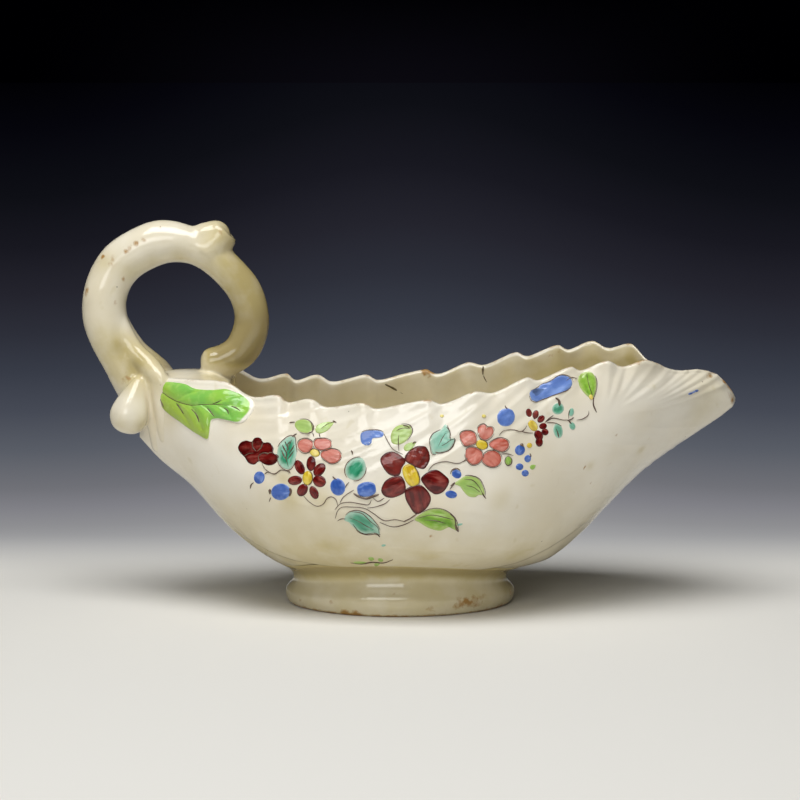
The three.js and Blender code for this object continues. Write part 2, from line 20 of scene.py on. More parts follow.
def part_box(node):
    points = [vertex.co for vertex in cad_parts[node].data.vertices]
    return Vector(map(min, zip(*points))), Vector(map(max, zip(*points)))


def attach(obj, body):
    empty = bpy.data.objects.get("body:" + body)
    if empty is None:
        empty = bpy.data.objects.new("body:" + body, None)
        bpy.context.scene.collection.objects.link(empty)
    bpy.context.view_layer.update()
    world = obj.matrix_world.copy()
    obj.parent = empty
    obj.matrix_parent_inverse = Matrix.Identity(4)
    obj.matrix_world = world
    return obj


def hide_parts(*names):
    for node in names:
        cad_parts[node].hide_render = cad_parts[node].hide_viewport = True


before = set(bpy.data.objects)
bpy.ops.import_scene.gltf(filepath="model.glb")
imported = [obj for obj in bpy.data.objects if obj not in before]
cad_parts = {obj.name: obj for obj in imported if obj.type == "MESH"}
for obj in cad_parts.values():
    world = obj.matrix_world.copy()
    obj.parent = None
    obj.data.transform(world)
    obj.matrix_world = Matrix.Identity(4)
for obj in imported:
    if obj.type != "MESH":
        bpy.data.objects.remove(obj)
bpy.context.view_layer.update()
BACK_REACH = 76.0  # from the foot's middle to the back of the bowl
SPOUT_REACH = 97.8
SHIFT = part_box("shell_right")[0].x * 1000 + BACK_REACH
print("solids:", len(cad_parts), "- the foot's middle is at x =", round(SHIFT, 2), "mm")

# %% [markdown]
# ## Outlines and meshes
#
# A potter's mould is cut from a few drawn outlines. `smooth_curve` turns a few measured points into such
# an outline, one that never swings past them, as a draughtsman's batten would. Everything is drawn in
# millimetres. `make_piece` turns points and faces into a mesh in the model's own metres.

# %% A smooth outline


def smooth_curve(points):
    """A function through [x, y] points: a monotone cubic, level beyond its ends."""
    xs, ys = np.array(points, float).T
    steps = np.diff(xs)
    slopes = np.diff(ys) / steps
    before, after = slopes[:-1], slopes[1:]
    weight_before = 2 * steps[1:] + steps[:-1]
    weight_after = steps[1:] + 2 * steps[:-1]
    same_way = before * after > 0
    safe_before = np.where(same_way, before, 1)
    safe_after = np.where(same_way, after, 1)
    middle = (weight_before + weight_after) / (weight_before / safe_before + weight_after / safe_after)
    tangents = np.concatenate([slopes[:1], np.where(same_way, middle, 0), slopes[-1:]])

    def curve(x):
        x = np.clip(x, xs[0], xs[-1])
        i = np.clip(np.searchsorted(xs, x, side="right") - 1, 0, len(steps) - 1)
        t = (x - xs[i]) / steps[i]
        rise = ys[i + 1] - ys[i]
        bend_in = (1 - t) * (tangents[i] * steps[i] - rise)
        bend_out = t * (rise - tangents[i + 1] * steps[i])
        return ys[i] + t * rise + t * (1 - t) * (bend_in + bend_out)

    return curve


def mix(a, b, share):
    return a + (b - a) * share


def smoothstep(x, low, high):
    t = np.clip((x - low) / (high - low), 0, 1)
    return t * t * (3 - 2 * t)


print("half way up a smooth step:", float(smoothstep(0.5, 0, 1)))

# %% Meshes from millimetres


def to_frame(points):
    """Millimetres from the foot's middle, as metres in the model's frame."""
    return (np.asarray(points, float) + (SHIFT, 0, 0)) / 1000


def put_in_scene(name, data):
    thing = bpy.data.objects.new(name, data)
    bpy.context.scene.collection.objects.link(thing)
    return thing


def make_piece(name, points, faces, material=None):
    mesh = bpy.data.meshes.new(name)
    mesh.from_pydata(to_frame(points).tolist(), [], [tuple(face) for face in faces])
    mesh.shade_smooth()
    mesh.update()
    piece = put_in_scene(name, mesh)
    if material:
        mesh.materials.append(material)
    return piece


def ring_faces(rows, sides, first=0, ends=False):
    """Faces of a tube of closed rings. Ends closes the first ring and the last."""
    index = first + np.arange(rows * sides).reshape(rows, sides)
    turned = np.roll(index, -1, axis=1)
    faces = np.stack([index[:-1], turned[:-1], turned[1:], index[1:]], 2).reshape(-1, 4).tolist()
    if ends:
        faces += [index[0, ::-1].tolist(), index[-1].tolist()]
    return faces


print("the foot's middle, in metres in the frame:", to_frame((0, 0, 0)).round(5).tolist())

# %% [markdown]
# ## The camera
#
# The camera stands where the photographer's did. The painter's flowers are placed by it later on: a
# flower seen at a pixel lies where the line from the lens through that pixel meets the bowl. The foot's
# oval and the near and far rims fix the lens: 760 mm in front, 152 mm up, tipped down 7 degrees.

# %% Camera
CAMERA_DISTANCE = 760.0
CAMERA_HEIGHT = 152.0
CAMERA_PITCH = math.radians(6.9756)
PICTURE = 800  # pixels across the photograph
FOCAL_PIXELS = 2625.57
SENSOR = 36.0

camera_data = bpy.data.cameras.new("camera")
camera_data.sensor_width = SENSOR
camera_data.lens = SENSOR * FOCAL_PIXELS / PICTURE
camera_data.clip_start = 0.01
camera_data.clip_end = 100
camera = put_in_scene("camera", camera_data)
camera.location = to_frame((0, -CAMERA_DISTANCE, CAMERA_HEIGHT))
camera.rotation_euler = (math.pi / 2 - CAMERA_PITCH, 0, 0)
bpy.context.scene.camera = camera
print("lens:", round(camera_data.lens, 1), "mm")

# %% [markdown]
# ## The bowl's outlines
#
# The bowl is a rule: at each place along the boat, a cross section is set by the keel's height, the
# rim's height, the widest line and how full the belly is. Each of these is a smooth outline along the
# boat, given as shares of its reach, so the whole bowl follows from a few short lists.

# %% The keel and the widest line
FOOT_HEIGHT = 9.6
BOWL_HALF_WIDTH = 43.0
BACK_KEEL = 38.5
LIP_POINT = 49.1

keel_to_spout = smooth_curve([
    [0, 0], [0.3, 0.004], [0.425, 0.042], [0.484, 0.109], [0.529, 0.186], [0.567, 0.257], [0.613, 0.36],
    [0.661, 0.468], [0.72, 0.58], [0.792, 0.687], [0.87, 0.793], [0.93, 0.875], [0.968, 0.93], [1, 1]])
keel_to_back = smooth_curve([
    [0, 0], [0.38, 0.004], [0.45, 0.035], [0.525, 0.109], [0.604, 0.221], [0.659, 0.317], [0.722, 0.46],
    [0.801, 0.634], [0.926, 0.839], [1, 1]])
widest_share = smooth_curve([
    [-1, 0.04], [-0.97, 0.13], [-0.92, 0.22], [-0.84, 0.35], [-0.74, 0.5], [-0.63, 0.63], [-0.53, 0.735],
    [-0.4, 0.825], [-0.2, 0.93], [0, 0.985], [0.12, 1], [0.25, 0.965], [0.37, 0.885], [0.49, 0.79],
    [0.6, 0.715], [0.7, 0.61], [0.8, 0.455], [0.86, 0.34], [0.92, 0.235], [0.96, 0.16], [0.985, 0.1],
    [1, 0.03]])


def share_of(x):
    return x / np.where(x < 0, BACK_REACH, SPOUT_REACH)


def keel_height(x):
    share = share_of(x)
    return np.where(x < 0, BACK_KEEL * keel_to_back(-share), LIP_POINT * keel_to_spout(share))


def half_widest(x):
    return BOWL_HALF_WIDTH * widest_share(share_of(x))


print("the keel rises", BACK_KEEL, "mm to the back and", LIP_POINT, "mm to the lip")

# %% The rim's sweep
BACK_RIM, WAIST_RIM, CREST_RIM, LIP_RIM = 57.0, 52.0, 63.6, 59.6
LIP_END = LIP_POINT + 1.1  # the rim stands this high at the very tip

rim_share = smooth_curve([
    [-1, 0.035], [-0.97, 0.12], [-0.92, 0.2], [-0.84, 0.29], [-0.74, 0.385], [-0.66, 0.46],
    [-0.59, 0.525], [-0.47, 0.635], [-0.35, 0.71], [-0.2, 0.8], [0, 0.885], [0.12, 0.905], [0.25, 0.88],
    [0.37, 0.8], [0.49, 0.715], [0.6, 0.665], [0.65, 0.625], [0.69, 0.575], [0.73, 0.51], [0.77, 0.43],
    [0.81, 0.35], [0.85, 0.278], [0.89, 0.212], [0.93, 0.152], [0.96, 0.108], [0.985, 0.068],
    [1, 0.022]])
UP_TO_CREST = [(0, 0.06), (0.15, 0.2), (0.3, 0.48), (0.45, 0.77), (0.6, 0.96), (0.7, 0.93)]
DOWN_TO_LIP = [(0.75, 0.7), (0.785, 0.43), (0.81, 0.18), (0.835, 0), (0.87, 0)]
DOWN_TO_TIP = [(0.91, 0.91), (0.937, 0.8), (0.967, 0.51), (0.988, 0.22), (1, 0)]
rim_sweep = smooth_curve(
    [[-1, BACK_RIM], [-0.67, BACK_RIM], [-0.55, mix(WAIST_RIM, BACK_RIM, 0.42)],
     [-0.4, mix(WAIST_RIM, BACK_RIM, 0.2)], [-0.2, WAIST_RIM]]
    + [[at, mix(WAIST_RIM, CREST_RIM, share)] for at, share in UP_TO_CREST]
    + [[at, mix(LIP_RIM, CREST_RIM, share)] for at, share in DOWN_TO_LIP]
    + [[at, mix(LIP_END, LIP_RIM, share)] for at, share in DOWN_TO_TIP])
print("the rim is lowest at", WAIST_RIM, "and highest at", CREST_RIM, "mm above the foot")

# %% The scallops
SCALLOP_HEIGHT, SCALLOP_FLARE = 1.8, 1.2
EASED_OVER = 5.0  # over how much of the boat's length the rim's turns are eased below it
CRESTS = [-0.45, -0.33, -0.136, 0.078, 0.21, 0.36, 0.487, 0.594, 0.706]
NOTCHES = [-0.55, -0.413, -0.271, -0.087, 0.118, 0.265, 0.395, 0.52, 0.64, 0.785]
scallop = smooth_curve(sorted(
    [[at, 0.5] for at in CRESTS] + [[at, -0.5] for at in NOTCHES]
    + [[NOTCHES[0] - 0.08, 0], [NOTCHES[-1] + 0.05, 0]]))


def half_rim(x):
    return BOWL_HALF_WIDTH * rim_share(share_of(x)) + SCALLOP_FLARE * scallop(share_of(x))


def rim_height(x):
    return rim_sweep(share_of(x)) + SCALLOP_HEIGHT * scallop(share_of(x))


def half_under_rim(x):
    """Half the width that the wall heads for below its rim: the rim's outline with its turns eased."""
    steps = np.linspace(-2, 2, 17)
    weights = np.exp(-0.5 * steps**2)
    reach = EASED_OVER * smoothstep(SPOUT_REACH - x, 2, 22) * smoothstep(BACK_REACH + x, 2, 20)
    return sum(w * half_rim(x + reach * step) for w, step in zip(weights, steps)) / weights.sum()


print("scallops:", len(CRESTS), "on each side")

# %% The wall between keel and rim
WALL, RIM_WALL, LIP_WALL = 3.4, 2.4, 1.6
UPPER_LEAN = 1.8  # how late the wall above the widest line leans in
SHARP_RIM = 4.0  # how late it takes on the rim's turns
WALL_STEPS = 41  # places at which a wall is measured across

widest_level = smooth_curve([
    [-1, 0.73], [-0.8, 0.59], [-0.6, 0.555], [-0.4, 0.525], [0, 0.49], [0.15, 0.5], [0.3, 0.57],
    [0.42, 0.65], [0.55, 0.7], [0.7, 0.66], [0.8, 0.72], [0.88, 0.74], [0.95, 0.7], [1, 0.6]])
fullness_at = smooth_curve([
    [-1, 1.9], [-0.6, 1.9], [-0.3, 2.2], [0, 2.35], [0.25, 2.3], [0.5, 1.9], [0.7, 1.75], [0.9, 1.8],
    [1, 2]])


def midrib_height(x):
    """Height of the widest line above the seat. The leaf's midrib will run along it."""
    return mix(keel_height(x), rim_sweep(share_of(x)), widest_level(share_of(x)))


def lean_in(x, lift):
    """Half the width above the widest line. Only the last of the wall turns as sharply as the rim."""
    heading = mix(half_under_rim(x), half_rim(x), lift**SHARP_RIM)
    return mix(half_widest(x), heading, lift**UPPER_LEAN)


def wall_at(x, thick):
    return mix(thick, LIP_WALL, smoothstep(share_of(x), 0.55, 0.9))


def inset_along(outline, x, wall, direction):
    """An outline moved inwards by the wall, as the inside of a mould follows its outside."""
    best = np.full_like(x, -np.inf)
    for step in np.linspace(-1, 1, WALL_STEPS):
        depth = wall * math.sqrt(1 - step * step)
        best = np.maximum(best, direction * outline(x + wall * step) + depth)
    return direction * best


def half_width_at(x, height):
    """Half the bowl's width at a height above the seat."""
    keel, middle, rim = keel_height(x), midrib_height(x), rim_height(x)
    full = fullness_at(share_of(x))
    drop = np.clip((middle - height) / (middle - keel), 0, 1)
    below = half_widest(x) * (1 - drop**full) ** (1 / full)
    lift = np.clip((height - middle) / (rim - middle), 0, 1)
    return np.where(height < middle, below, lean_in(x, lift))


print("at its middle the bowl is", round(2 * float(half_width_at(np.array(0.0), np.array(20.0))), 1),
      "mm wide, 20 mm above its seat")

# %% [markdown]
# ## The bowl
#
# A closed skin is woven through the outlines: each cross section runs from the keel up the outside, over
# a rounded rim and down the inside. It could be modelled by hand with a subdivision surface, but the
# rule keeps the silhouette exact, and a fine even net is wanted anyway for the veins that follow. The
# under-leaf that wraps the keel lies lower than the side leaves, so the skin steps in below their edge.

# %% Cross sections
FINE_SECTION = 260  # points on a section before they are spread evenly


def even_points(path, count):
    """The same path with its points an even distance apart. Path is stations x points x 2."""
    lengths = np.linalg.norm(np.diff(path, axis=1), axis=2)
    along = np.concatenate([np.zeros((len(path), 1)), np.cumsum(lengths, axis=1)], axis=1)
    wanted = np.linspace(0, 1, count)
    result = np.empty((len(path), count, 2))
    for i in range(len(path)):
        at = wanted * along[i, -1]
        result[i, :, 0] = np.interp(at, along[i], path[i, :, 0])
        result[i, :, 1] = np.interp(at, along[i], path[i, :, 1])
    return result


def section_paths(keel, rim, middle, widest, below_rim, at_rim, full):
    """Cross sections from keel to rim as half width and height, one for each station."""
    angle = (np.linspace(0, 1, FINE_SECTION) ** 1.3 * math.pi / 2)[None, :]
    keel, rim, middle, widest, below_rim, at_rim, full = (
        v[:, None] for v in (keel, rim, middle, widest, below_rim, at_rim, full))
    low_y = widest * np.sin(angle) ** (2 / full)
    low_z = middle - (middle - keel) * np.clip(np.cos(angle), 0, 1) ** (2 / full)
    lift = np.linspace(0, 1, FINE_SECTION // 2)[None, 1:]
    high_y = mix(widest, mix(below_rim, at_rim, lift**SHARP_RIM), lift**UPPER_LEAN)
    high_z = mix(middle, rim, lift)
    return np.stack([np.concatenate([low_y, high_y], 1), np.concatenate([low_z, high_z], 1)], 2)


def end_rounding(x, back, front, back_radius, front_radius):
    """1 along the boat and 0 at its two ends, with a round fall between."""
    from_back = np.clip((x - back) / back_radius, 0, 1)
    from_front = np.clip((front - x) / front_radius, 0, 1)
    return np.sqrt(1 - (1 - from_back) ** 2) * np.sqrt(1 - (1 - from_front) ** 2)


print("sections are drawn through", FINE_SECTION, "points")

# %% Rings round the wall
OUTSIDE_POINTS, INSIDE_POINTS, RIM_POINTS = 100, 46, 7
THICKEST_ROLL = 1.2  # half the thickness of the rolled rim
ROLL_HEIGHT = 0.9  # the roll's height, as a share of half its thickness


def bowl_rings(stations, inset=0.0):
    """Closed rings around the wall at each station, as half widths (negative is the right) and heights."""
    x = stations
    share = share_of(x)
    keel, rim, sweep = keel_height(x), rim_height(x), rim_sweep(share)
    ends = end_rounding(x, -BACK_REACH, SPOUT_REACH, 1.6, THICKEST_ROLL)
    widths = [np.maximum(outline(x) - inset, 0.01) * ends
              for outline in (half_widest, half_under_rim, half_rim)]
    outer = section_paths(keel + inset, rim, mix(keel, sweep, widest_level(share)), *widths, fullness_at(share))

    wall = wall_at(x, WALL)
    bottom = inset_along(keel_height, x, wall, 1)
    inside_widest = inset_along(half_widest, x, wall, -1)
    inside_ends = end_rounding(x, -BACK_REACH + 3.2, SPOUT_REACH - 0.9, 4.0, 5.0)
    inside_below, inside_rim = (
        np.maximum(inset_along(outline, x, wall_at(x, RIM_WALL), -1) + inset, 0.0) * inside_ends
        for outline in (half_under_rim, half_rim))
    inside_widest = np.maximum(np.maximum(inside_widest + inset, 0.0) * inside_ends, inside_rim)
    floor = mix(rim - 0.05, np.minimum(bottom - inset, rim - 0.05), inside_ends)
    inside_middle = mix(floor, np.minimum(sweep, rim), widest_level(share))
    inner = section_paths(floor, rim, inside_middle, inside_widest, inside_below, inside_rim,
                          fullness_at(share))

    outer = even_points(outer, OUTSIDE_POINTS)
    inner = even_points(inner, INSIDE_POINTS)
    roll = np.minimum(0.5 * (outer[:, -1, 0] - inner[:, -1, 0]), THICKEST_ROLL)
    for path in (outer, inner):
        near_rim = smoothstep(path[:, :, 1], sweep[:, None] - 9, rim[:, None])
        path[:, :, 1] -= (ROLL_HEIGHT * roll)[:, None] * near_rim
    over = np.linspace(0, math.pi, RIM_POINTS + 2)[1:-1][None, :]
    centre = 0.5 * (outer[:, -1:, 0] + inner[:, -1:, 0])
    half = 0.5 * (outer[:, -1:, 0] - inner[:, -1:, 0])
    rise = ROLL_HEIGHT * roll[:, None] * np.sin(over)
    top = np.stack([centre + half * np.cos(over), outer[:, -1:, 1] + rise], 2)
    return np.concatenate([outer, top, inner[:, ::-1]], 1)


def bowl_stations(back, front, count):
    """Stations along the boat, closer together towards its ends."""
    evenly = np.linspace(0, 1, count)
    ends = 0.5 - 0.5 * np.cos(math.pi * evenly)
    return mix(back, front, mix(evenly, ends, 0.35))


def woven(x, half_ring):
    """Points and faces of a closed skin through half rings that are mirrored across the keel."""
    right = np.stack([np.broadcast_to(x[:, None], half_ring.shape[:2]), -half_ring[:, :, 0],
                      half_ring[:, :, 1] + FOOT_HEIGHT], 2)
    left = right[:, -2:0:-1] * (1, -1, 1)
    rings = np.concatenate([right, left], 1)
    return rings.reshape(-1, 3), ring_faces(*rings.shape[:2])


STATIONS = 290
stations = bowl_stations(-BACK_REACH, SPOUT_REACH, STATIONS)
rings = bowl_rings(stations)
print("rings:", STATIONS, "of", rings.shape[1], "points on each side")

# %% The under-leaf and the lip
UNDER_LEAF_STEP = 0.8  # how far the keel's leaf lies below the side leaves
LIP_TWIST = 2.6  # the lip was pinched by hand, and its left edge lies this much lower than its right
under_leaf_edge = smooth_curve([  # the side leaf's lower edge, as height above the seat along the boat
    [-58, 18.5], [-50, 14.6], [-43, 10.6], [-36, 7.6], [-27, 5.6], [-10, 3.6], [5, 2.9], [20, 3.0],
    [32, 4.9], [42, 9.1], [51, 14.0], [56, 17.2], [62, 22]])
edge_height = under_leaf_edge(stations)[:, None]
outside = np.arange(rings.shape[1]) < OUTSIDE_POINTS
below_edge = smoothstep(edge_height - rings[:, :, 1], -0.15, 0.75)
fade = smoothstep(edge_height - rings[:, :, 1], 0, 6.5)
ends_fade = smoothstep(stations, -60, -52) * smoothstep(-stations, -63, -57)
step_in = UNDER_LEAF_STEP * below_edge * (1 - 0.75 * fade) * ends_fade[:, None] * outside[None, :]
rings[:, :, 0] -= step_in * smoothstep(rings[:, :, 0], 0, 8) * 0.8
rings[:, :, 1] += step_in * 0.5

bowl_points, bowl_faces = woven(stations, rings)
along, aside, up = bowl_points.T
on_lip = smoothstep(along, 69, 74) * smoothstep(-along, -98, -90)
bowl_points[:, 2] -= LIP_TWIST * on_lip * smoothstep(aside, -1, 7) * smoothstep(up, 57, 69)
bowl = make_piece("glazed_bowl", bowl_points, bowl_faces)
print("bowl:", len(bowl_faces), "faces, step of the under-leaf", UNDER_LEAF_STEP, "mm")

# %% [markdown]
# ## Veins pressed into the leaf
#
# On each side of the boat lies one long leaf. Its midrib follows the widest line of the belly to the
# lip. Side veins run straight from it to every notch of the rim, almost level near the handle, steeper
# towards the spout, and in a fan over the spout itself. The mould's carver cut them as shallow grooves
# between soft swellings. They could be sculpted, but they follow a rule, so Geometry Nodes press them:
# the tree measures how far each point of the skin is from the nearest vein and moves it along its
# normal. The same tree adds the slight unevenness of hand work.

# %% A vein on the skin
VEIN_POINTS = 50
outside_paths = rings[:, :OUTSIDE_POINTS]
vein_points, vein_edges, vein_depths = [], [], []


def on_side(x, height):
    """Points on the right of the skin at x and at a height over the bowl's lowest point."""
    found = []
    for one_x, one_height in zip(x, height):
        row = float(np.interp(one_x, stations, np.arange(STATIONS)))
        i = min(int(row), STATIONS - 2)
        widths = [np.interp(one_height, path[:, 1], path[:, 0]) for path in outside_paths[i : i + 2]]
        found.append((one_x, -mix(*widths, row - i), one_height + FOOT_HEIGHT))
    return np.array(found)


def add_vein(start, end, depths, sag=0.05):
    """Adds one vein on the right and its twin on the left, between two (x, height) ends."""
    t = np.linspace(0, 1, VEIN_POINTS)
    start, end = np.array(start, float), np.array(end, float)
    x, height = mix(start[None, :], end[None, :], t[:, None]).T
    height = height - 4 * sag * t * (1 - t) * np.linalg.norm(end - start)
    path = on_side(x, height)
    for side in (1, -1):
        first = len(vein_points)
        vein_points.extend((path * (1, side, 1)).tolist())
        vein_edges.extend((first + i, first + i + 1) for i in range(VEIN_POINTS - 1))
        vein_depths.extend(depths(t))


print("the midrib is", round(FOOT_HEIGHT + float(midrib_height(0.0)), 1), "mm above the table at the middle")

# %% The lines of the veins
NOTCH_DEPTH, BETWEEN_DEPTH, FAN_DEPTH, LOWER_DEPTH = 1.0, 0.5, 0.8, 0.45  # shares of the groove depth
FAN_ROOT = 57.0  # where the spout's fan of veins leaves the midrib
LONGEST_VEIN = 46.0
vein_slope = smooth_curve([
    [-60, 0.0], [-36, 0.03], [-25, 0.08], [-8, 0.22], [8, 0.36], [25, 0.56], [40, 0.66], [55, 0.7]])


def growing(depth):
    """A vein that starts from nothing and is deepest at the rim."""
    return lambda t: depth * smoothstep(t, 0.0, 0.6)


def fading(depth):
    return lambda t: depth * smoothstep(t, 0, 0.3) * smoothstep(1 - t, 0, 0.45)


rim_marks = [at * (BACK_REACH if at < 0 else SPOUT_REACH) for at in NOTCHES]
rim_ends = [(x, NOTCH_DEPTH) for x in rim_marks]
for a, b in zip(rim_marks[:-1], rim_marks[1:]):
    rim_ends += [(mix(a, b, 0.36), BETWEEN_DEPTH), (mix(a, b, 0.68), BETWEEN_DEPTH)]
rim_ends += [(SPOUT_REACH * at, FAN_DEPTH) for at in (0.8, 0.84, 0.875, 0.91, 0.94, 0.965)]
for x_end, depth in rim_ends:
    height_end = float(rim_height(x_end)) - 0.3
    if x_end > FAN_ROOT + 1:
        start = (FAN_ROOT, float(midrib_height(FAN_ROOT)) + 0.15 * (x_end - FAN_ROOT) / 4)
    else:
        back = np.linspace(0, LONGEST_VEIN, 100)
        drop = height_end - float(vein_slope(x_end)) * back - midrib_height(x_end - back)
        reach = back[np.argmax(drop < 0)] if (drop < 0).any() else LONGEST_VEIN
        reach = min(reach, x_end + 54)
        start = (x_end - reach, height_end - float(vein_slope(x_end)) * reach)
    add_vein(start, (x_end, height_end), growing(depth))
for x_start in np.linspace(-34, 62, 9):
    height = float(midrib_height(x_start)) - 2.0
    for drop in (0.0, 9.0):
        start = x_start + drop, height - drop
        add_vein(start, (start[0] + 30, start[1] - 4.5), fading(LOWER_DEPTH))


def set_attribute(piece, name, values):
    attribute = piece.data.attributes.get(name) or piece.data.attributes.new(name, "FLOAT", "POINT")
    attribute.data.foreach_set("value", np.asarray(values, np.float32))


vein_mesh = bpy.data.meshes.new("vein_lines")
vein_mesh.from_pydata(to_frame(vein_points).tolist(), vein_edges, [])
vein_lines = put_in_scene("vein_lines", vein_mesh)
set_attribute(vein_lines, "depth", vein_depths)
print("veins:", len(vein_points) // VEIN_POINTS, "in all")

# %% Nodes
TIMES, OVER = {"operation": "MULTIPLY"}, {"operation": "DIVIDE"}
PLUS, MINUS = {"operation": "ADD"}, {"operation": "SUBTRACT"}
TIMES_PLUS = {"operation": "MULTIPLY_ADD"}  # input 0 times input 1, plus input 2
SIZE = {"operation": "ABSOLUTE"}
EASED = {"interpolation_type": "SMOOTHSTEP"}  # a MapRange takes 1 to 2 to the range 3 to 4
TINT = {"data_type": "RGBA"}  # a Mix goes by the share in 0 from colour 6 to colour 7


def colour(text):
    """An sRGB colour such as #E6DFCB as the linear values that a shader takes."""
    shares = [int(text[i : i + 2], 16) / 255 for i in (1, 3, 5)]
    linear = [s / 12.92 if s <= 0.04045 else ((s + 0.055) / 1.055) ** 2.4 for s in shares]
    return (*linear, 1.0)


def add(tree, kind, inputs=None, **settings):
    """Adds one node with its settings. Each input, by name or number, takes a value, a colour as a text,
    a socket, or a node, whose first output in use is linked."""
    node = tree.nodes.new(kind if "Node" in kind else "ShaderNode" + kind)
    for name, value in settings.items():
        setattr(node, name, value)
    for key, value in (inputs or {}).items():
        if isinstance(value, bpy.types.Node):
            value = next(output for output in value.outputs if output.enabled)
        if isinstance(value, bpy.types.NodeSocket):
            tree.links.new(value, node.inputs[key])
        else:
            node.inputs[key].default_value = colour(value) if str(value).startswith("#") else value
    return node


print("a mid grey, linear:", round(colour("#808080")[0], 3))

# %% Trees that make geometry


def new_tree(name, inputs):
    """A Geometry Nodes tree with a geometry in and out, and named inputs as (name, kind, value)."""
    tree = bpy.data.node_groups.new(name, "GeometryNodeTree")
    tree.interface.new_socket("Geometry", in_out="INPUT", socket_type="NodeSocketGeometry")
    tree.interface.new_socket("Geometry", in_out="OUTPUT", socket_type="NodeSocketGeometry")
    for label, kind, value in inputs:
        socket = tree.interface.new_socket(label, in_out="INPUT", socket_type=f"NodeSocket{kind}")
        if value is not None:
            socket.default_value = value
    return tree


def end_tree(tree, geometry, material):
    """Closes a tree: whatever repeats is made real, and takes its material."""
    real = add(tree, "GeometryNodeRealizeInstances", {"Geometry": geometry})
    painted = add(tree, "GeometryNodeSetMaterial", {"Geometry": real, "Material": material})
    add(tree, "NodeGroupOutput", {"Geometry": painted})


def run_tree(piece, tree, **values):
    """Runs a tree on a piece, and keeps the result as the piece's plain mesh."""
    modifier = piece.modifiers.new(tree.name, "NODES")
    modifier.node_group = tree
    for item in tree.interface.items_tree:
        key = item.name.lower().replace(" ", "_")
        if item.in_out == "INPUT" and key in values:
            modifier[item.identifier] = values[key]
    piece.update_tag()
    bpy.context.view_layer.update()
    graph = bpy.context.evaluated_depsgraph_get()
    mesh = bpy.data.meshes.new_from_object(piece.evaluated_get(graph), depsgraph=graph)
    piece.modifiers.remove(modifier)
    old = piece.data
    piece.data = mesh
    if isinstance(old, bpy.types.Mesh):
        bpy.data.meshes.remove(old)
    return piece


print("modifier inputs are found by their socket's identifier")

# %% The tree that presses the veins
pressing = new_tree("press the veins", [
    ("Veins", "Object", None), ("Groove Depth", "Float", 0.0003), ("Groove Width", "Float", 0.0006),
    ("Swelling", "Float", 0.5), ("Wobble Height", "Float", 0.0001), ("Wobble Size", "Float", 0.02),
    ("Glaze", "Material", None)])
given = add(pressing, "NodeGroupInput").outputs
veins = add(pressing, "GeometryNodeObjectInfo", {"Object": given["Veins"]}, transform_space="RELATIVE")
veins = veins.outputs["Geometry"]
nearest = add(pressing, "GeometryNodeProximity", {"Target": veins}, target_element="EDGES").outputs["Distance"]
distance = add(pressing, "Math", {0: nearest, 1: given["Groove Width"]}, **OVER)
closest = add(pressing, "GeometryNodeSampleNearest", {"Geometry": veins}, domain="POINT")
depth = add(pressing, "GeometryNodeInputNamedAttribute", {"Name": "depth"}, data_type="FLOAT")
depth = add(pressing, "GeometryNodeSampleIndex", {"Geometry": veins, "Value": depth, "Index": closest},
            data_type="FLOAT")


def bell(tree, distance, centre, width):
    """A soft bump about a distance: exp(-((distance - centre) / width) squared)."""
    off = add(tree, "Math", {0: distance, 1: centre}, **MINUS)
    off = add(tree, "Math", {0: off, 1: width}, **OVER)
    squared = add(tree, "Math", {0: off, 1: off}, **TIMES)
    return add(tree, "Math", {0: add(tree, "Math", {0: squared, 1: -1.0}, **TIMES)}, operation="EXPONENT")


swell = add(pressing, "Math", {0: bell(pressing, distance, 2.4, 1.5), 1: given["Swelling"]}, **TIMES)
relief = add(pressing, "Math", {0: swell, 1: bell(pressing, distance, 0.0, 1.0)}, **MINUS)
cut = add(pressing, "Math", {0: relief, 1: depth}, **TIMES)
cut = add(pressing, "Math", {0: cut, 1: given["Groove Depth"]}, **TIMES)
print("veins:", len(pressing.nodes), "nodes")

# %% The unevenness of hand work
axes = add(pressing, "SeparateXYZ", {0: add(pressing, "GeometryNodeInputPosition")}).outputs
outward = add(pressing, "Math", {0: axes["Y"]}, **SIZE)
folded = add(pressing, "CombineXYZ", {"X": axes["X"], "Y": outward, "Z": axes["Z"]})
fineness = add(pressing, "Math", {0: 1.0, 1: given["Wobble Size"]}, **OVER)
wobble = add(pressing, "TexNoise", {"Vector": folded, "Scale": fineness, "Detail": 2.0})
wobble = add(pressing, "Math", {0: wobble, 1: 0.5}, **MINUS)
# it dies away under the handle, so that the handle's foot stays bedded in the wall
clear = add(pressing, "MapRange", {0: axes["X"], 1: (-66 + SHIFT) / 1000, 2: (-44 + SHIFT) / 1000}, **EASED)
wobble = add(pressing, "Math", {0: wobble, 1: clear}, **TIMES)
total = add(pressing, "Math", {0: wobble, 1: given["Wobble Height"], 2: cut}, **TIMES_PLUS)
normal = add(pressing, "GeometryNodeInputNormal")
offset = add(pressing, "VectorMath", {0: normal, "Scale": total}, operation="SCALE")
moved = add(pressing, "GeometryNodeSetPosition", {"Geometry": given["Geometry"], "Offset": offset})
end_tree(pressing, moved, given["Glaze"])
print("tree:", len(pressing.nodes), "nodes")
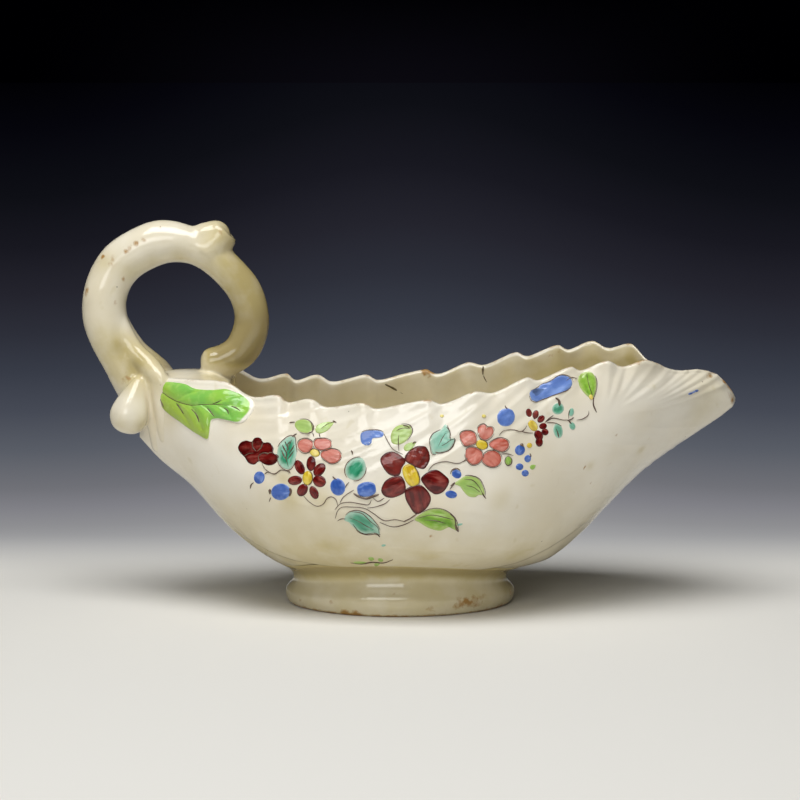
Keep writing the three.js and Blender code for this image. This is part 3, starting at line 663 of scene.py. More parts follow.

# %% [markdown]
# ## The glaze
#
# Creamware and its forerunners carry a **lead glaze** over a cream body: a thin glass, dipped and fired,
# warm and a little yellow, with an index near 1.55. It gives the eye a soft skin colour under crisp
# reflections. Where it pools, in the crease above the foot and inside the bowl, it turns straw yellow.
# The same straw yellow and a deeper brown are also laid on as painted shade: inside the bowl, in the
# creases above and round the foot, under the side leaves' edge, on the spout's lip, and on the handle's
# shaded side, tip and root. Where it is worn through, on the rim and the foot, the body shows tan and
# dull. Dark pinholes of a fifth of a millimetre are drawn about twice that, so that they show. One vertex
# value for pools, stains and painted shade and one for wear say where, and noise breaks them up.

# %% Lead glaze over a cream body
CREAM, CREAM_SHADE = "#F1EBDC", "#E8DFC9"
POOLED_AND_SHADED, DEEP_POOL_AND_SHADE = "#C6B67C", "#8F8059"
WORN, PINHOLE = "#A67C3A", "#6B5738"


def new_material(name):
    material = bpy.data.materials.new(name)
    material.use_nodes = True
    material.node_tree.nodes.clear()
    return material, material.node_tree


glaze, tree = new_material("lead_glaze_on_cream_body")
place = add(tree, "TexCoord").outputs["Object"]
# the first value carries pooled glaze, real stains and painted shade
pool, wear = (add(tree, "Attribute", attribute_name=key).outputs["Fac"] for key in ("pool", "wear"))
clouds = add(tree, "TexNoise", {"Vector": place, "Scale": 1000 / 22, "Detail": 3.0})  # 22 mm across
clouds = add(tree, "MapRange", {0: clouds, 1: 0.35, 2: 0.7}, **EASED)
skin_colour = add(tree, "Mix", {0: clouds, 6: CREAM, 7: CREAM_SHADE}, **TINT)
patchy = add(tree, "TexNoise", {"Vector": place, "Scale": 1000 / 7, "Detail": 4.0})
patchy = add(tree, "MapRange", {0: patchy, 1: 0.3, 2: 0.62, 3: 0.7, 4: 1.0}, **EASED)
# straw yellow for pooled glaze and stains, and the same straw laid on as painted shade
straw = add(tree, "Math", {0: pool, 1: patchy}, **TIMES)
skin_colour = add(tree, "Mix", {0: straw, 6: skin_colour, 7: POOLED_AND_SHADED}, **TINT)
# a deeper brown where the value runs high: pooled glaze, and painted shade on the handle's shaded side and tip,
# in the foot's crease and inside towards the spout
deep = add(tree, "MapRange", {0: pool, 1: 0.7, 2: 1.5, 4: 0.9}, **EASED)
skin_colour = add(tree, "Mix", {0: deep, 6: skin_colour, 7: DEEP_POOL_AND_SHADE}, **TINT)
faint = add(tree, "TexNoise", {"Vector": place, "Scale": 1000 / 4.5, "Detail": 2.0})
faint = add(tree, "MapRange", {0: faint, 1: 0.66, 2: 0.78, 4: 0.22}, **EASED)
skin_colour = add(tree, "Mix", {0: faint, 6: skin_colour, 7: POOLED_AND_SHADED}, **TINT)
print("glaze:", len(tree.nodes), "nodes for its colour")

# %% Pinholes, worn places and gloss
cells = add(tree, "TexVoronoi", {"Vector": place, "Scale": 1000 / 4.2}, feature="F1")
chosen = add(tree, "SeparateXYZ", {0: cells.outputs["Color"]})
chosen = add(tree, "MapRange", {0: chosen, 1: 0.86, 2: 0.9, 4: 0.75}, **EASED)  # one cell in eight
pinhole = add(tree, "MapRange", {0: cells, 1: 0.075, 2: 0.03}, **EASED)
pinhole = add(tree, "Math", {0: pinhole, 1: chosen}, **TIMES)
skin_colour = add(tree, "Mix", {0: pinhole, 6: skin_colour, 7: PINHOLE}, **TINT)
grit = add(tree, "TexNoise", {"Vector": place, "Scale": 1000 / 1.6, "Detail": 4.0})
grit = add(tree, "MapRange", {0: grit, 1: 0.3, 2: 0.7, 4: 0.5}, **EASED)
rubbed = add(tree, "MapRange", {0: add(tree, "Math", {0: wear, 1: grit}, **PLUS), 1: 0.45, 2: 1.1}, **EASED)
skin_colour = add(tree, "Mix", {0: rubbed, 6: skin_colour, 7: WORN}, **TINT)
gloss = add(tree, "TexNoise", {"Vector": place, "Scale": 1000 / 9, "Detail": 2.0})
gloss = add(tree, "MapRange", {0: gloss, 1: 0.3, 2: 0.7, 3: 0.06, 4: 0.12}, **EASED)
gloss = add(tree, "Math", {0: rubbed, 1: 0.4, 2: gloss}, **TIMES_PLUS)  # the bare body is duller
ripple = add(tree, "TexNoise", {"Vector": place, "Scale": 1000 / 5, "Detail": 2.0})
ripple = add(tree, "Bump", {"Height": ripple, "Strength": 0.35, "Distance": 0.0004})
glass = add(tree, "BsdfPrincipled", {
    "Base Color": skin_colour, "Roughness": gloss, "IOR": 1.55, "Normal": ripple})
add(tree, "OutputMaterial", {"Surface": glass})
print("glaze:", len(tree.nodes), "nodes in all")

# %% Where the glaze pools and wears, and where shade is painted
is_inside = np.arange(rings.shape[1]) >= OUTSIDE_POINTS + RIM_POINTS
from_rim = np.abs(np.arange(rings.shape[1]) - (OUTSIDE_POINTS + RIM_POINTS / 2 - 0.5)) / 4.0
level = rings[:, :, 1]
# inside the bowl: pooled glaze, and painted shade that deepens towards the spout
pool_and_shade_right = is_inside[None, :] * (0.6 + 0.36 * smoothstep(stations, 15, 65))[:, None]
# the band just inside the rim is left lighter: a painted highlight on the rim's lit inner edge
pool_and_shade_right *= 0.4 + 0.6 * smoothstep(from_rim, 1.0, 2.2)[None, :]
low_down = 0.34 + 0.3 * smoothstep(-stations, -30, 20)[:, None]  # the photograph shows it yellower to the left
# above the foot and under the side leaves' edge this is pooled glaze and also painted shade, in the crease and
# under the edge
for pool_and_shade_here in (low_down * smoothstep(34 - level, 0, 28) * ~is_inside,  # low on the belly
                  0.8 * smoothstep(4.2 - level, 0, 4.0) * ~is_inside,  # above the foot
                  0.3 * below_edge * (1 - fade) * outside):  # under the side leaves' edge
    pool_and_shade_right = np.maximum(pool_and_shade_right, pool_and_shade_here)
crest_wear = np.exp(-((share_of(stations)[:, None] - CRESTS) / 0.02) ** 2).max(axis=1)
wear_right = (0.34 + 0.3 * crest_wear)[:, None] * np.clip(1 - from_rim, 0, 1)[None, :]
wear_right += 0.35 * smoothstep(stations, 88, 97)[:, None] * np.clip(1 - from_rim / 2.2, 0, 1)[None, :]
print("straw-coloured share of the bowl:", round(float((pool_and_shade_right > 0.3).mean()), 2))

# %% Press the veins into the bowl


def both_sides(values):
    return np.concatenate([values, values[:, -2:0:-1]], 1).ravel()


set_attribute(bowl, "pool", both_sides(pool_and_shade_right))
set_attribute(bowl, "wear", both_sides(wear_right))
run_tree(bowl, pressing, veins=vein_lines, groove_depth=0.0003, groove_width=0.0007, swelling=0.35,
         wobble_height=0.0006, wobble_size=0.024, glaze=glaze)
bpy.data.objects.remove(vein_lines)
print("bowl pressed:", len(bowl.data.polygons), "faces")

# %% [markdown]
# ## The foot ring
#
# The foot was thrown or pressed as an oval ring with a bulging band and a drawn-in neck, and luted on
# with slip that leaves a soft fillet. A profile carried round an oval is the plain way to make it. Its
# top row follows the bowl's own underside, so the fillet closes on the bowl all the way round.

# %% The foot's profile
FOOT_HALF_LENGTH, FOOT_HALF_WIDTH = 33.6, 27.5
FOOT_WALL, FOOT_NECK, FOOT_EDGE, FOOT_SIDE_LIFT = 5.2, 2.3, 1.3, 0.45
BAND_TOP = 7.4
foot_profile = smooth_curve([
    [0, 1.6], [0.06, 0.9], [0.12, 0.42], [0.3, 0.04], [0.42, 0.0], [0.5, 0.12], [0.62, 0.75],
    [0.76, 1.7], [0.9, 2.22], [1, FOOT_NECK]])  # inset from the widest oval, by share of the band's height
rows = [(FOOT_WALL - 0.6, 0.0), (FOOT_EDGE + 0.9, 0.0)]
rows += [(FOOT_EDGE * (1 - math.sin(a)) + 0.42, 1 - math.cos(a))
         for a in np.linspace(0, math.pi / 2, 9)[:-1]]
rows += [(float(foot_profile(s)), BAND_TOP * s) for s in np.linspace(0.16, 1, 22)]
print("profile:", len(rows), "points, inset and height")

# %% Carry the profile round the oval
FOOT_SIDES = 240
FILLET_ROWS = [(-1.4, -0.04), (-2.1, 0.1), (-2.4, 0.45)]  # the glaze's fillet thins out over the bowl
INNER_ROWS = [(1.9, 7.6), (1.2, 6.0), (0.5, 3.4), (0, 1.2), (-0.25, 0.35)]
angles = np.linspace(0, 2 * math.pi, FOOT_SIDES, endpoint=False)
lift = 1 + FOOT_SIDE_LIFT * np.sin(angles) ** 2


def underside(x, y):
    """Height of the bowl's outer skin above the table, below its widest line."""
    keel, middle, full = keel_height(x), midrib_height(x), fullness_at(share_of(x))
    out = np.clip(np.abs(y) / half_widest(x), 0, 0.999)
    return FOOT_HEIGHT + middle - (middle - keel) * (1 - out**full) ** (1 / full)


def oval(inset, height):
    half_length, half_width = FOOT_HALF_LENGTH - inset, FOOT_HALF_WIDTH - inset
    return np.stack([half_length * np.cos(angles), half_width * np.sin(angles), height], 1)


def under_bowl(inset, above):
    """An oval that lies so far above the bowl's outer skin, or under it where that is negative."""
    loop = oval(inset, 0 * lift)
    loop[:, 2] = underside(loop[:, 0], loop[:, 1]) + above
    return loop


loops = [oval(inset, z * lift) for inset, z in rows]
neck, corner, landing = loops[-1], under_bowl(FOOT_NECK - 0.2, -0.5), under_bowl(-0.6, -0.12)
for t in np.linspace(0, 1, 9)[1:]:
    loops.append((1 - t) ** 2 * neck + 2 * t * (1 - t) * corner + t * t * landing)
loops += [under_bowl(inset, sunk) for inset, sunk in FILLET_ROWS]
within = under_bowl(FOOT_WALL + FOOT_NECK, 0.6)
loops += [under_bowl(1.2, 0.9), within]
loops += [oval(FOOT_WALL + more, np.minimum(z * lift, within[:, 2] - 0.4)) for more, z in INNER_ROWS]
foot_points = np.concatenate(loops)
foot_faces = [[i % len(foot_points) for i in face] for face in ring_faces(len(loops) + 1, FOOT_SIDES)]
foot = make_piece("glazed_foot", foot_points, foot_faces, glaze)
print("foot:", len(foot_faces), "faces")

# %% Glaze on the foot


def points_of(piece):
    """A piece's points, in millimetres from the foot's middle."""
    flat = np.empty(len(piece.data.vertices) * 3, np.float32)
    piece.data.vertices.foreach_get("co", flat)
    return flat.reshape(-1, 3).astype(float) * 1000 - (SHIFT, 0, 0)


height = points_of(foot)[:, 2]
crease_pool_and_shade = 1 - smoothstep(np.abs(np.arange(len(loops)) - (len(rows) + 5)), 1.0, 9.0)
# the band and the crease at its neck are darkened: pooled glaze, and painted shade under the belly and in the
# crease
set_attribute(foot, "pool", np.repeat(0.66 + 0.55 * crease_pool_and_shade, FOOT_SIDES))
set_attribute(foot, "wear", 0.62 * smoothstep(1.3 - height, 0, 1.2))
print("the foot stands", round(float(height.max()), 1), "mm high at its sides")

# %% [markdown]
# ## The twig handle
#
# The handle is a rolled length of clay, bent into a loop, with the stub of a cut side shoot on top. A
# side twig splits off inside the loop on each side and runs down to its leaf, a bud hangs on each side
# of the root, and a plate of clay bridges the back of the rim. All of it was luted on wet, so no edge
# is left between the pieces. Solid shapes are laid into each other, a **voxel remesh** fuses them into
# one skin as the slip did, and smoothing gives the soft fillets.

# %% Rolled clay
BACK_TOP = FOOT_HEIGHT + BACK_RIM


def from_back_rim(points):
    """Points given as towards the spout, outwards and up from the back of the rim, on the right."""
    points = np.array(points, float)
    if points.shape[1] == 2:
        points = np.insert(points, 1, 0.0, axis=1)
    return points * (1, -1, 1) + (-BACK_REACH, 0, BACK_TOP)


def spline_through(points, count):
    """A smooth path through points, as count points an even distance apart."""
    points = np.asarray(points, float)
    ends = [2 * points[0] - points[1]], points, [2 * points[-1] - points[-2]]
    points = np.concatenate(ends)
    path = []
    for i in range(1, len(points) - 2):
        before, start, end, after = points[i - 1 : i + 3]
        gap_before, gap, gap_after = (max(np.linalg.norm(b - a), 1e-6) ** 0.5
                                      for a, b in ((before, start), (start, end), (end, after)))
        leave = (start - before) / gap_before - (end - before) / (gap_before + gap) + (end - start) / gap
        arrive = (end - start) / gap - (after - start) / (gap + gap_after) + (after - end) / gap_after
        t = np.linspace(0, 1, 40, endpoint=i == len(points) - 3)[:, None]
        path.append(start * (2 * t**3 - 3 * t**2 + 1) + leave * gap * (t**3 - 2 * t**2 + t)
                    + end * (3 * t**2 - 2 * t**3) + arrive * gap * (t**3 - t**2))
    path = np.concatenate(path)
    along = np.concatenate([[0], np.cumsum(np.linalg.norm(np.diff(path, axis=0), axis=1))])
    wanted = np.linspace(0, along[-1], count)
    return np.stack([np.interp(wanted, along, path[:, k]) for k in range(path.shape[1])], 1)


def rolled(path, radii, sides=24, round_ends=0.6):
    """A closed roll of clay along a path. Round_ends is how far its ends swell, as a share of the radius."""
    tangents = np.gradient(path, axis=0)
    tangents /= np.linalg.norm(tangents, axis=1)[:, None]
    caps = np.radians([88, 70, 50, 28])
    first, last = tangents[0] * radii[0] * round_ends, tangents[-1] * radii[-1] * round_ends
    discs = [(path[0] - first * math.sin(a), radii[0] * math.cos(a), tangents[0]) for a in caps]
    discs += zip(path, radii, tangents)
    discs += [(path[-1] + last * math.sin(a), radii[-1] * math.cos(a), tangents[-1]) for a in caps[::-1]]
    side = np.cross(tangents[0], (0.0, 1.0, 0.0))
    turn = np.linspace(0, 2 * math.pi, sides, endpoint=False)[:, None]
    points = []
    for centre, width, way in discs:
        side = side - way * np.dot(side, way)
        side /= np.linalg.norm(side)
        points.append(centre + width * (np.cos(turn) * side + np.sin(turn) * np.cross(way, side)))
    return np.concatenate(points), ring_faces(len(points), sides, ends=True)


print("the back of the rim is", BACK_TOP, "mm above the table")

# %% The loop
STALK_LINE = [[5.0, -11.5], [-0.1, -4.2], [-4.6, 4.6], [-8.7, 12.7], [-9.8, 21.5], [-8.2, 27.4],
              [-4.4, 32.6], [2.0, 36.9], [8, 38.6], [14.6, 37.8], [21.3, 34.6], [26.7, 29.8],
              [30.8, 23.8], [32.7, 17.6], [32.2, 12], [29.7, 6.9], [25.2, 4.0], [20.7, 3.1]]
SMOOTHING_LOSS = 0.22  # what the smoothing takes off a roll's radius, added beforehand
stalk_path = spline_through(from_back_rim(STALK_LINE), 150)
stalk_radius = smooth_curve([[0, 6.4], [0.05, 6.1], [0.12, 6.1], [0.25, 6.2], [0.5, 6.1], [0.7, 4.7],
                             [0.87, 5.0], [1, 4.4]])
clay = [rolled(stalk_path, stalk_radius(np.linspace(0, 1, 150)) + SMOOTHING_LOSS, 32)]
print("loop:", round(float(np.ptp(stalk_path[:, 0]))), "by", round(float(np.ptp(stalk_path[:, 2]))), "mm")

# %% The cut shoot


def turned_body(low, high, profile, sides=32, lobes=0, lobe_depth=0.0):
    """A solid turned about the line from low to high. Profile gives radius and share of the height."""
    axis = np.subtract(high, low)
    side = np.cross(axis, (0.0, 1.0, 0.0))
    side /= np.linalg.norm(side)
    other = np.cross(axis, side) / np.linalg.norm(axis)
    turn = np.linspace(0, 2 * math.pi, sides, endpoint=False)
    points = []
    for radius, share in profile:
        wavy = radius * (1 + lobe_depth * np.cos(lobes * turn) * math.sin(math.pi * min(max(share, 0), 1)))
        points.append(low + axis * share + wavy[:, None] * (
            np.cos(turn)[:, None] * side + np.sin(turn)[:, None] * other))
    return np.concatenate(points), ring_faces(len(points), sides, ends=True)


KNOP_SHARE, KNOP_REACH, KNOP_TILT = 0.632, 8.8, math.radians(46)
KNOP_PROFILE = [[0.01, 0], [6.0, 0], [5.6, 0.4], [5.0, 0.65], [4.75, 0.82], [4.6, 0.92], [4.1, 0.99],
                [3.3, 0.985], [2.0, 0.92], [0.01, 0.89]]  # its cut end is slightly hollow
SHOULDER_LINE, SHOULDER_RADIUS = [[18.6, 39.6], [22.4, 40.2]], 4.5
knop_root = stalk_path[round(KNOP_SHARE * (len(stalk_path) - 1))]
knop_way = np.array([math.cos(KNOP_TILT), 0, math.sin(KNOP_TILT)])
clay.append(turned_body(knop_root, knop_root + knop_way * KNOP_REACH, KNOP_PROFILE))
shoulder = spline_through(from_back_rim(SHOULDER_LINE), 8)
clay.append(rolled(shoulder, np.full(8, SHOULDER_RADIUS), round_ends=1.0))
print("the shoot leaves the loop", round(float(knop_root[2])), "mm above the table")

# %% Twigs, buds and ridges
TWIG_LINE = [[-7.4, 0.6, 18.6], [-4.7, 1.8, 12.2], [-1.2, 3.0, 7.0], [3.4, 5.0, 2.8],
             [6.6, 8.4, -0.2], [8.8, 10.6, -3.4]]
TWIG_SWELL, TWIG_SIDES = 0.1, 20
BUD_LOW, BUD_HIGH, BUD_LENGTH, BUD_RADIUS = [-3.4, 9.2, -16.2], [0.5, 7.2, -1.4], 15.8, 5.6
BUD_LOBES, LOBE_DEPTH = 5, 0.05
BUD_PROFILE = [
    [0.02, 0], [0.3, 0.008], [0.56, 0.04], [0.8, 0.11], [0.95, 0.22], [1, 0.33], [0.96, 0.44],
    [0.86, 0.56], [0.73, 0.68], [0.58, 0.8], [0.42, 0.92], [0.28, 1.02], [0.1, 1.08]]
RIDGES = [(3.8, 1.0, -21.0), (7.0, -2.0, -18.0)]  # clay drawn down the wall: from the back, top and bottom
twig_radius = smooth_curve([[0, 3.2], [0.5, 3.3], [0.75, 2.9], [0.9, 2.2], [1, 1.0]])
for side in (1, -1):
    twig_path = spline_through(from_back_rim(TWIG_LINE) * (1, side, 1), 50)
    clay.append(rolled(twig_path, twig_radius(np.linspace(0, 1, 50)) + TWIG_SWELL, TWIG_SIDES))
    low = from_back_rim([BUD_LOW])[0] * (1, side, 1)
    towards = from_back_rim([BUD_HIGH])[0] * (1, side, 1) - low
    high = low + towards / np.linalg.norm(towards) * BUD_LENGTH
    profile = [[share * BUD_RADIUS, height] for share, height in BUD_PROFILE]
    clay.append(turned_body(low, high, profile, 40, BUD_LOBES, LOBE_DEPTH))
    for from_back, top, bottom in RIDGES:
        heights = np.linspace(top, bottom, 30)
        lean = from_back - BACK_REACH + 0.1 * (top - heights)
        proud = np.linspace(1.3, -0.8, 30)  # it sinks into the wall as it goes down
        radius = np.linspace(3.2, 2.2, 30)
        reach = half_width_at(lean, BACK_RIM + heights) + proud - radius
        clay.append(rolled(np.stack([lean, -side * reach, BACK_TOP + heights], 1), radius, 16))
print("clay:", len(clay), "pieces so far")

# %% The plate behind the rim
BRIDGE_START, BRIDGE_END, BRIDGE_THICKNESS, BRIDGE_CROWN = 3.4, 27.0, 3.6, 1.4
BRIDGE_DROOP = 2.2  # how far its free edge bends down
bridge = []
for from_back in np.linspace(BRIDGE_START, BRIDGE_END, 24):
    x = np.array(from_back - BACK_REACH)
    edge = float(rim_height(x)) - 0.4
    swell = math.sin(math.pi * min(max(from_back / BRIDGE_END, 0.25), 0.75))
    droop = BRIDGE_DROOP * float(smoothstep(from_back, 21, BRIDGE_END))
    top = float(rim_sweep(share_of(x))) + BRIDGE_CROWN * swell - droop
    edge -= droop
    reach = max(float(half_width_at(x, np.array(edge))) - 0.55 * RIM_WALL, 0.8)
    low_reach = max(float(half_width_at(x, np.array(edge - BRIDGE_THICKNESS))) - 0.55 * RIM_WALL, 0.6)
    sides = np.linspace(-1, 1, 21)
    ring = [[x, s * reach, FOOT_HEIGHT + mix(top, edge, s * s)] for s in sides]
    ring += [[x, s * low_reach, FOOT_HEIGHT + edge - BRIDGE_THICKNESS] for s in sides[::-1]]
    bridge.append(ring[::-1])
bridge = np.array(bridge)
bridge_faces = ring_faces(*bridge.shape[:2], ends=True)
bridge_faces = [face[1:] + face[:1] for face in bridge_faces]  # so that bent faces are split the other way
clay.append((bridge.reshape(-1, 3), bridge_faces))
print("plate:", BRIDGE_END - BRIDGE_START, "mm long")

# %% The handle's bed
BED_DEPTH = 0.22  # how deep the handle's own bed lies inside the bowl's wall
BED_END = -38.0
BED_STATIONS = 80
bed_stations = mix(-BACK_REACH, BED_END, np.linspace(0, 1, BED_STATIONS) ** 1.25)
bed_points, bed_faces = woven(bed_stations, bowl_rings(bed_stations, BED_DEPTH))
last_ring = range(len(bed_points) - len(bed_points) // BED_STATIONS, len(bed_points))
clay.append((bed_points, bed_faces + [list(last_ring)]))
print("clay:", len(clay), "pieces to lute together")

# %% Lute them into one skin
VOXEL = 0.5
points, faces = [], []
for piece_points, piece_faces in clay:
    faces += [[i + len(points) for i in face] for face in piece_faces]
    points += np.asarray(piece_points).tolist()
handle = make_piece("twig_handle", points, faces)
fuse = handle.modifiers.new("fuse", "REMESH")
fuse.mode = "VOXEL"
fuse.voxel_size = VOXEL / 1000
soften = handle.modifiers.new("soften", "SMOOTH")
soften.factor = 0.5
soften.iterations = 14
graph = bpy.context.evaluated_depsgraph_get()
fused = bpy.data.meshes.new_from_object(handle.evaluated_get(graph), depsgraph=graph)
handle.modifiers.clear()
handle.data = fused
handle.data.shade_smooth()
handle.data.materials.append(glaze)
print("handle:", len(fused.polygons), "faces after fusing at", VOXEL, "mm")

# %% Thumb marks, pooled glaze and painted shade
LUMP_HEIGHT, LUMP_SIZE = 0.55, 11.0  # the thumb marks left by rolling the clay


def normals_of(piece):
    flat = np.empty(len(piece.data.vertices) * 3, np.float32)
    piece.data.vertex_normals.foreach_get("vector", flat)
    return flat.reshape(-1, 3).astype(float)


skin = points_of(handle)
clear_of_bowl = smoothstep(skin[:, 2], BACK_TOP + 1, BACK_TOP + 9)
lumps = np.array([noise.noise(point / LUMP_SIZE) for point in skin])
skin += (LUMP_HEIGHT * clear_of_bowl * lumps)[:, None] * normals_of(handle)
handle.data.vertices.foreach_set("co", to_frame(skin).astype(np.float32).ravel())
handle.data.update()
shaded_side = smoothstep(skin[:, 0], -66, -44) * smoothstep(skin[:, 2], BACK_TOP + 1, BACK_TOP + 6)
root = smoothstep(BACK_TOP + 18 - skin[:, 2], 0, 12) * smoothstep(skin[:, 2], BACK_TOP - 8, BACK_TOP)
shaded_inner_curl = smoothstep(skin[:, 2], BACK_TOP + 24, BACK_TOP + 6) * smoothstep(skin[:, 0], -62, -54)
# pooled glaze over the whole handle, and painted shade on its shaded right side, the tip of its curl and its
# root
set_attribute(handle, "pool", 0.2 + 0.9 * shaded_side + 0.5 * shaded_inner_curl
              + 0.55 * root * smoothstep(-skin[:, 0], 62, 72))
print("the thumb marks are up to", round(float(LUMP_HEIGHT * np.abs(lumps).max()), 2), "mm deep")

# %% [markdown]
# ## Leaf sprigs
#
# On each side a small leaf was pressed in its own mould and stuck under the rim. Its edge is soft and
# stands about a millimetre proud. Rings of points shrink from the leaf's outline to its middle, are shot
# onto the wall along the sight lines, and are raised like a cushion, so the sprig hugs the bowl.
# A shrink-wrapped sheet would do as well, but this keeps the outline exact. All outlines and lines in
# the picture are written as x, y, x, y, in pixels from its upper left corner.

# %% Sight lines that meet a surface
LENS_POINT = np.array([0.0, -CAMERA_DISTANCE, CAMERA_HEIGHT])
NEAR_SIDE = 25.0  # a line that misses is judged this far in front of the boat's middle


def sight_line(px, py):
    """The direction from the lens through a pixel of the photograph."""
    right = (px - PICTURE / 2) / FOCAL_PIXELS
    up = (PICTURE / 2 - py) / FOCAL_PIXELS
    cos, sin = math.cos(CAMERA_PITCH), math.sin(CAMERA_PITCH)
    direction = np.array([right, cos + up * sin, -sin + up * cos])
    return direction / np.linalg.norm(direction)


def surface_of(*pieces):
    """Pieces as one thing that lines can be shot at, in millimetres."""
    corners, faces = [], []
    for piece in pieces:
        first = len(corners)
        corners += [tuple(point) for point in points_of(piece)]
        faces += [tuple(first + i for i in face.vertices) for face in piece.data.polygons]
    return BVHTree.FromPolygons(corners, faces)


def seen_at(surface, pixels):
    """Where the sight lines through pixels meet a surface: points, and normals that face outwards."""
    points, normals = [], []
    for px, py in pixels:
        direction = sight_line(px, py)
        point, normal, _, _ = surface.ray_cast(Vector(LENS_POINT), Vector(direction))
        if point is None:
            beside = LENS_POINT + direction * (CAMERA_DISTANCE - NEAR_SIDE) / direction[1]
            point, normal, _, _ = surface.find_nearest(Vector(beside))
        if normal.dot(Vector(direction)) > 0:
            normal = -normal
        points.append(point[:])
        normals.append(normal[:])
    return np.array(points), np.array(normals)


bowl_surface = surface_of(bowl)
print("the picture's middle shows the bowl at", seen_at(bowl_surface, [(400, 480)])[0].round(1).tolist())

# %% Patches that hug a surface


def closed_line(points, count):
    """A smooth closed line through points, as count points an even distance apart."""
    points = [tuple(point) for point in points]
    around = points[-3:] + points + points[:3]
    path = spline_through(around, count * 8)
    start = np.argmin(np.linalg.norm(path[: len(path) // 2] - points[0], axis=1))
    end = len(path) // 2 + np.argmin(np.linalg.norm(path[len(path) // 2 :] - points[0], axis=1))
    path = path[start:end]
    return path[np.linspace(0, len(path), count, endpoint=False).astype(int)]


def patch_faces(rings, sides, first=0):
    """Faces of rings that shrink to a middle point, closed underneath by a second middle point."""
    smallest, top = first + (rings - 1) * sides, first + rings * sides
    pairs = [(i, (i + 1) % sides) for i in range(sides)]
    faces = ring_faces(rings, sides, first)
    faces += [[smallest + i, smallest + j, top] for i, j in pairs]
    return faces + [[first + j, first + i, top + 1] for i, j in pairs]


def patch_points(surface, outline, middle, ring_count, height_at):
    """Rings from the outline to the middle, shot onto a surface. Height_at takes pixels and ring share."""
    shares = 1 - (np.arange(ring_count) / ring_count) ** 1.15
    middle = np.array(middle, float)
    pixels = [middle + (outline - middle) * share for share in shares] + [middle[None, :]]
    share = np.concatenate([np.full(len(p), s) for p, s in zip(pixels, [*shares, 0.0])])
    pixels = np.concatenate(pixels)
    points, normals = seen_at(surface, pixels)
    ways = normals + normals.mean(axis=0)
    ways /= np.linalg.norm(ways, axis=1)[:, None]
    raised = points + ways * height_at(pixels, share)[:, None]
    under = points[-1:] - ways[-1:] * 0.3
    return np.concatenate([raised, under]), pixels, share


def facing_out(piece):
    """Turns a closed piece's faces outwards."""
    fresh = bmesh.new()
    fresh.from_mesh(piece.data)
    bmesh.ops.recalc_face_normals(fresh, faces=fresh.faces)
    fresh.to_mesh(piece.data)
    fresh.free()
    piece.data.update()


print("a patch of 4 rings of 24 points has", len(patch_faces(4, 24)), "faces")

# %% Shape the sprigs
SPRIG_OUTLINE = np.reshape([
    151.5, 383.5, 163, 381.5, 176, 382, 186, 384, 194, 388, 204, 389.5, 215, 389.5, 228, 388.5, 238,
    391.5, 247, 395.5, 254, 402, 254, 410, 249.5, 417, 242, 423.5, 229.5, 421.5, 219, 419.5, 212.5,
    421, 211, 427, 210.5, 433, 208.5, 440.5, 199, 436, 190, 430, 180.5, 423, 170.5, 416, 162, 408,
    157.5, 400, 153.5, 392], (-1, 2))
SPRIG_VEINS = [
    [157, 387, 169, 396.8, 177, 401.4, 191, 405.2, 202, 404.6, 214, 404.4, 232, 406, 243, 409],
    [177, 402, 184, 413, 190, 424], [191, 405, 198, 414, 203, 429], [203, 405, 211, 411, 216, 417],
    [216, 404.5, 226, 400, 238, 396], [178, 401, 188, 395, 198, 392], [218, 405, 228, 411, 232, 418]]
SPRIG_MIDDLE = (200, 404)
SPRIG_THICKNESS = 1.15
SPRIG_RINGS, SPRIG_SIDES = 44, 240


def distance_to_lines(pixels, lines):
    """Pixels to the nearest of some lines."""
    best = np.full(len(pixels), np.inf)
    for line in lines:
        path = spline_through(np.reshape(line, (-1, 2)), 60)
        gaps = np.linalg.norm(pixels[:, None, :] - path[None, :, :], axis=2)
        best = np.minimum(best, gaps.min(axis=1))
    return best


def sprig_height(pixels, share):
    veins = distance_to_lines(pixels, SPRIG_VEINS)
    cushion = (1 - share**5) ** 0.7
    plump = 0.72 + 0.28 * smoothstep(veins, 0, 7)
    groove = 0.2 * np.exp(-((veins / 1.3) ** 2)) * smoothstep(1 - share, 0.05, 0.3)
    return SPRIG_THICKNESS * cushion * plump - groove - 0.25 * smoothstep(share, 0.985, 1.0)


sprig_outline = closed_line(SPRIG_OUTLINE, SPRIG_SIDES)
sprig_points, sprig_pixels, sprig_share = patch_points(
    bowl_surface, sprig_outline, SPRIG_MIDDLE, SPRIG_RINGS, sprig_height)
sprig_paint = 1 - smoothstep(sprig_share + 0.05 * smoothstep(sprig_pixels[:, 0], 190, 245), 0.93, 1.01)
sprig_warm = smoothstep(1.2 * sprig_pixels[:, 1] - sprig_pixels[:, 0], 278, 318)  # yellower to the lower left
sprigs = []
for name, side in (("enamelled_leaf_right", 1), ("enamelled_leaf_left", -1)):
    sprig = make_piece(name, sprig_points * (1, side, 1), patch_faces(SPRIG_RINGS, SPRIG_SIDES))
    facing_out(sprig)
    set_attribute(sprig, "paint", np.append(sprig_paint, 0))
    set_attribute(sprig, "warm", np.append(sprig_warm, 0))
    sprigs.append(sprig)
print("sprigs:", len(sprigs[0].data.polygons), "faces each")
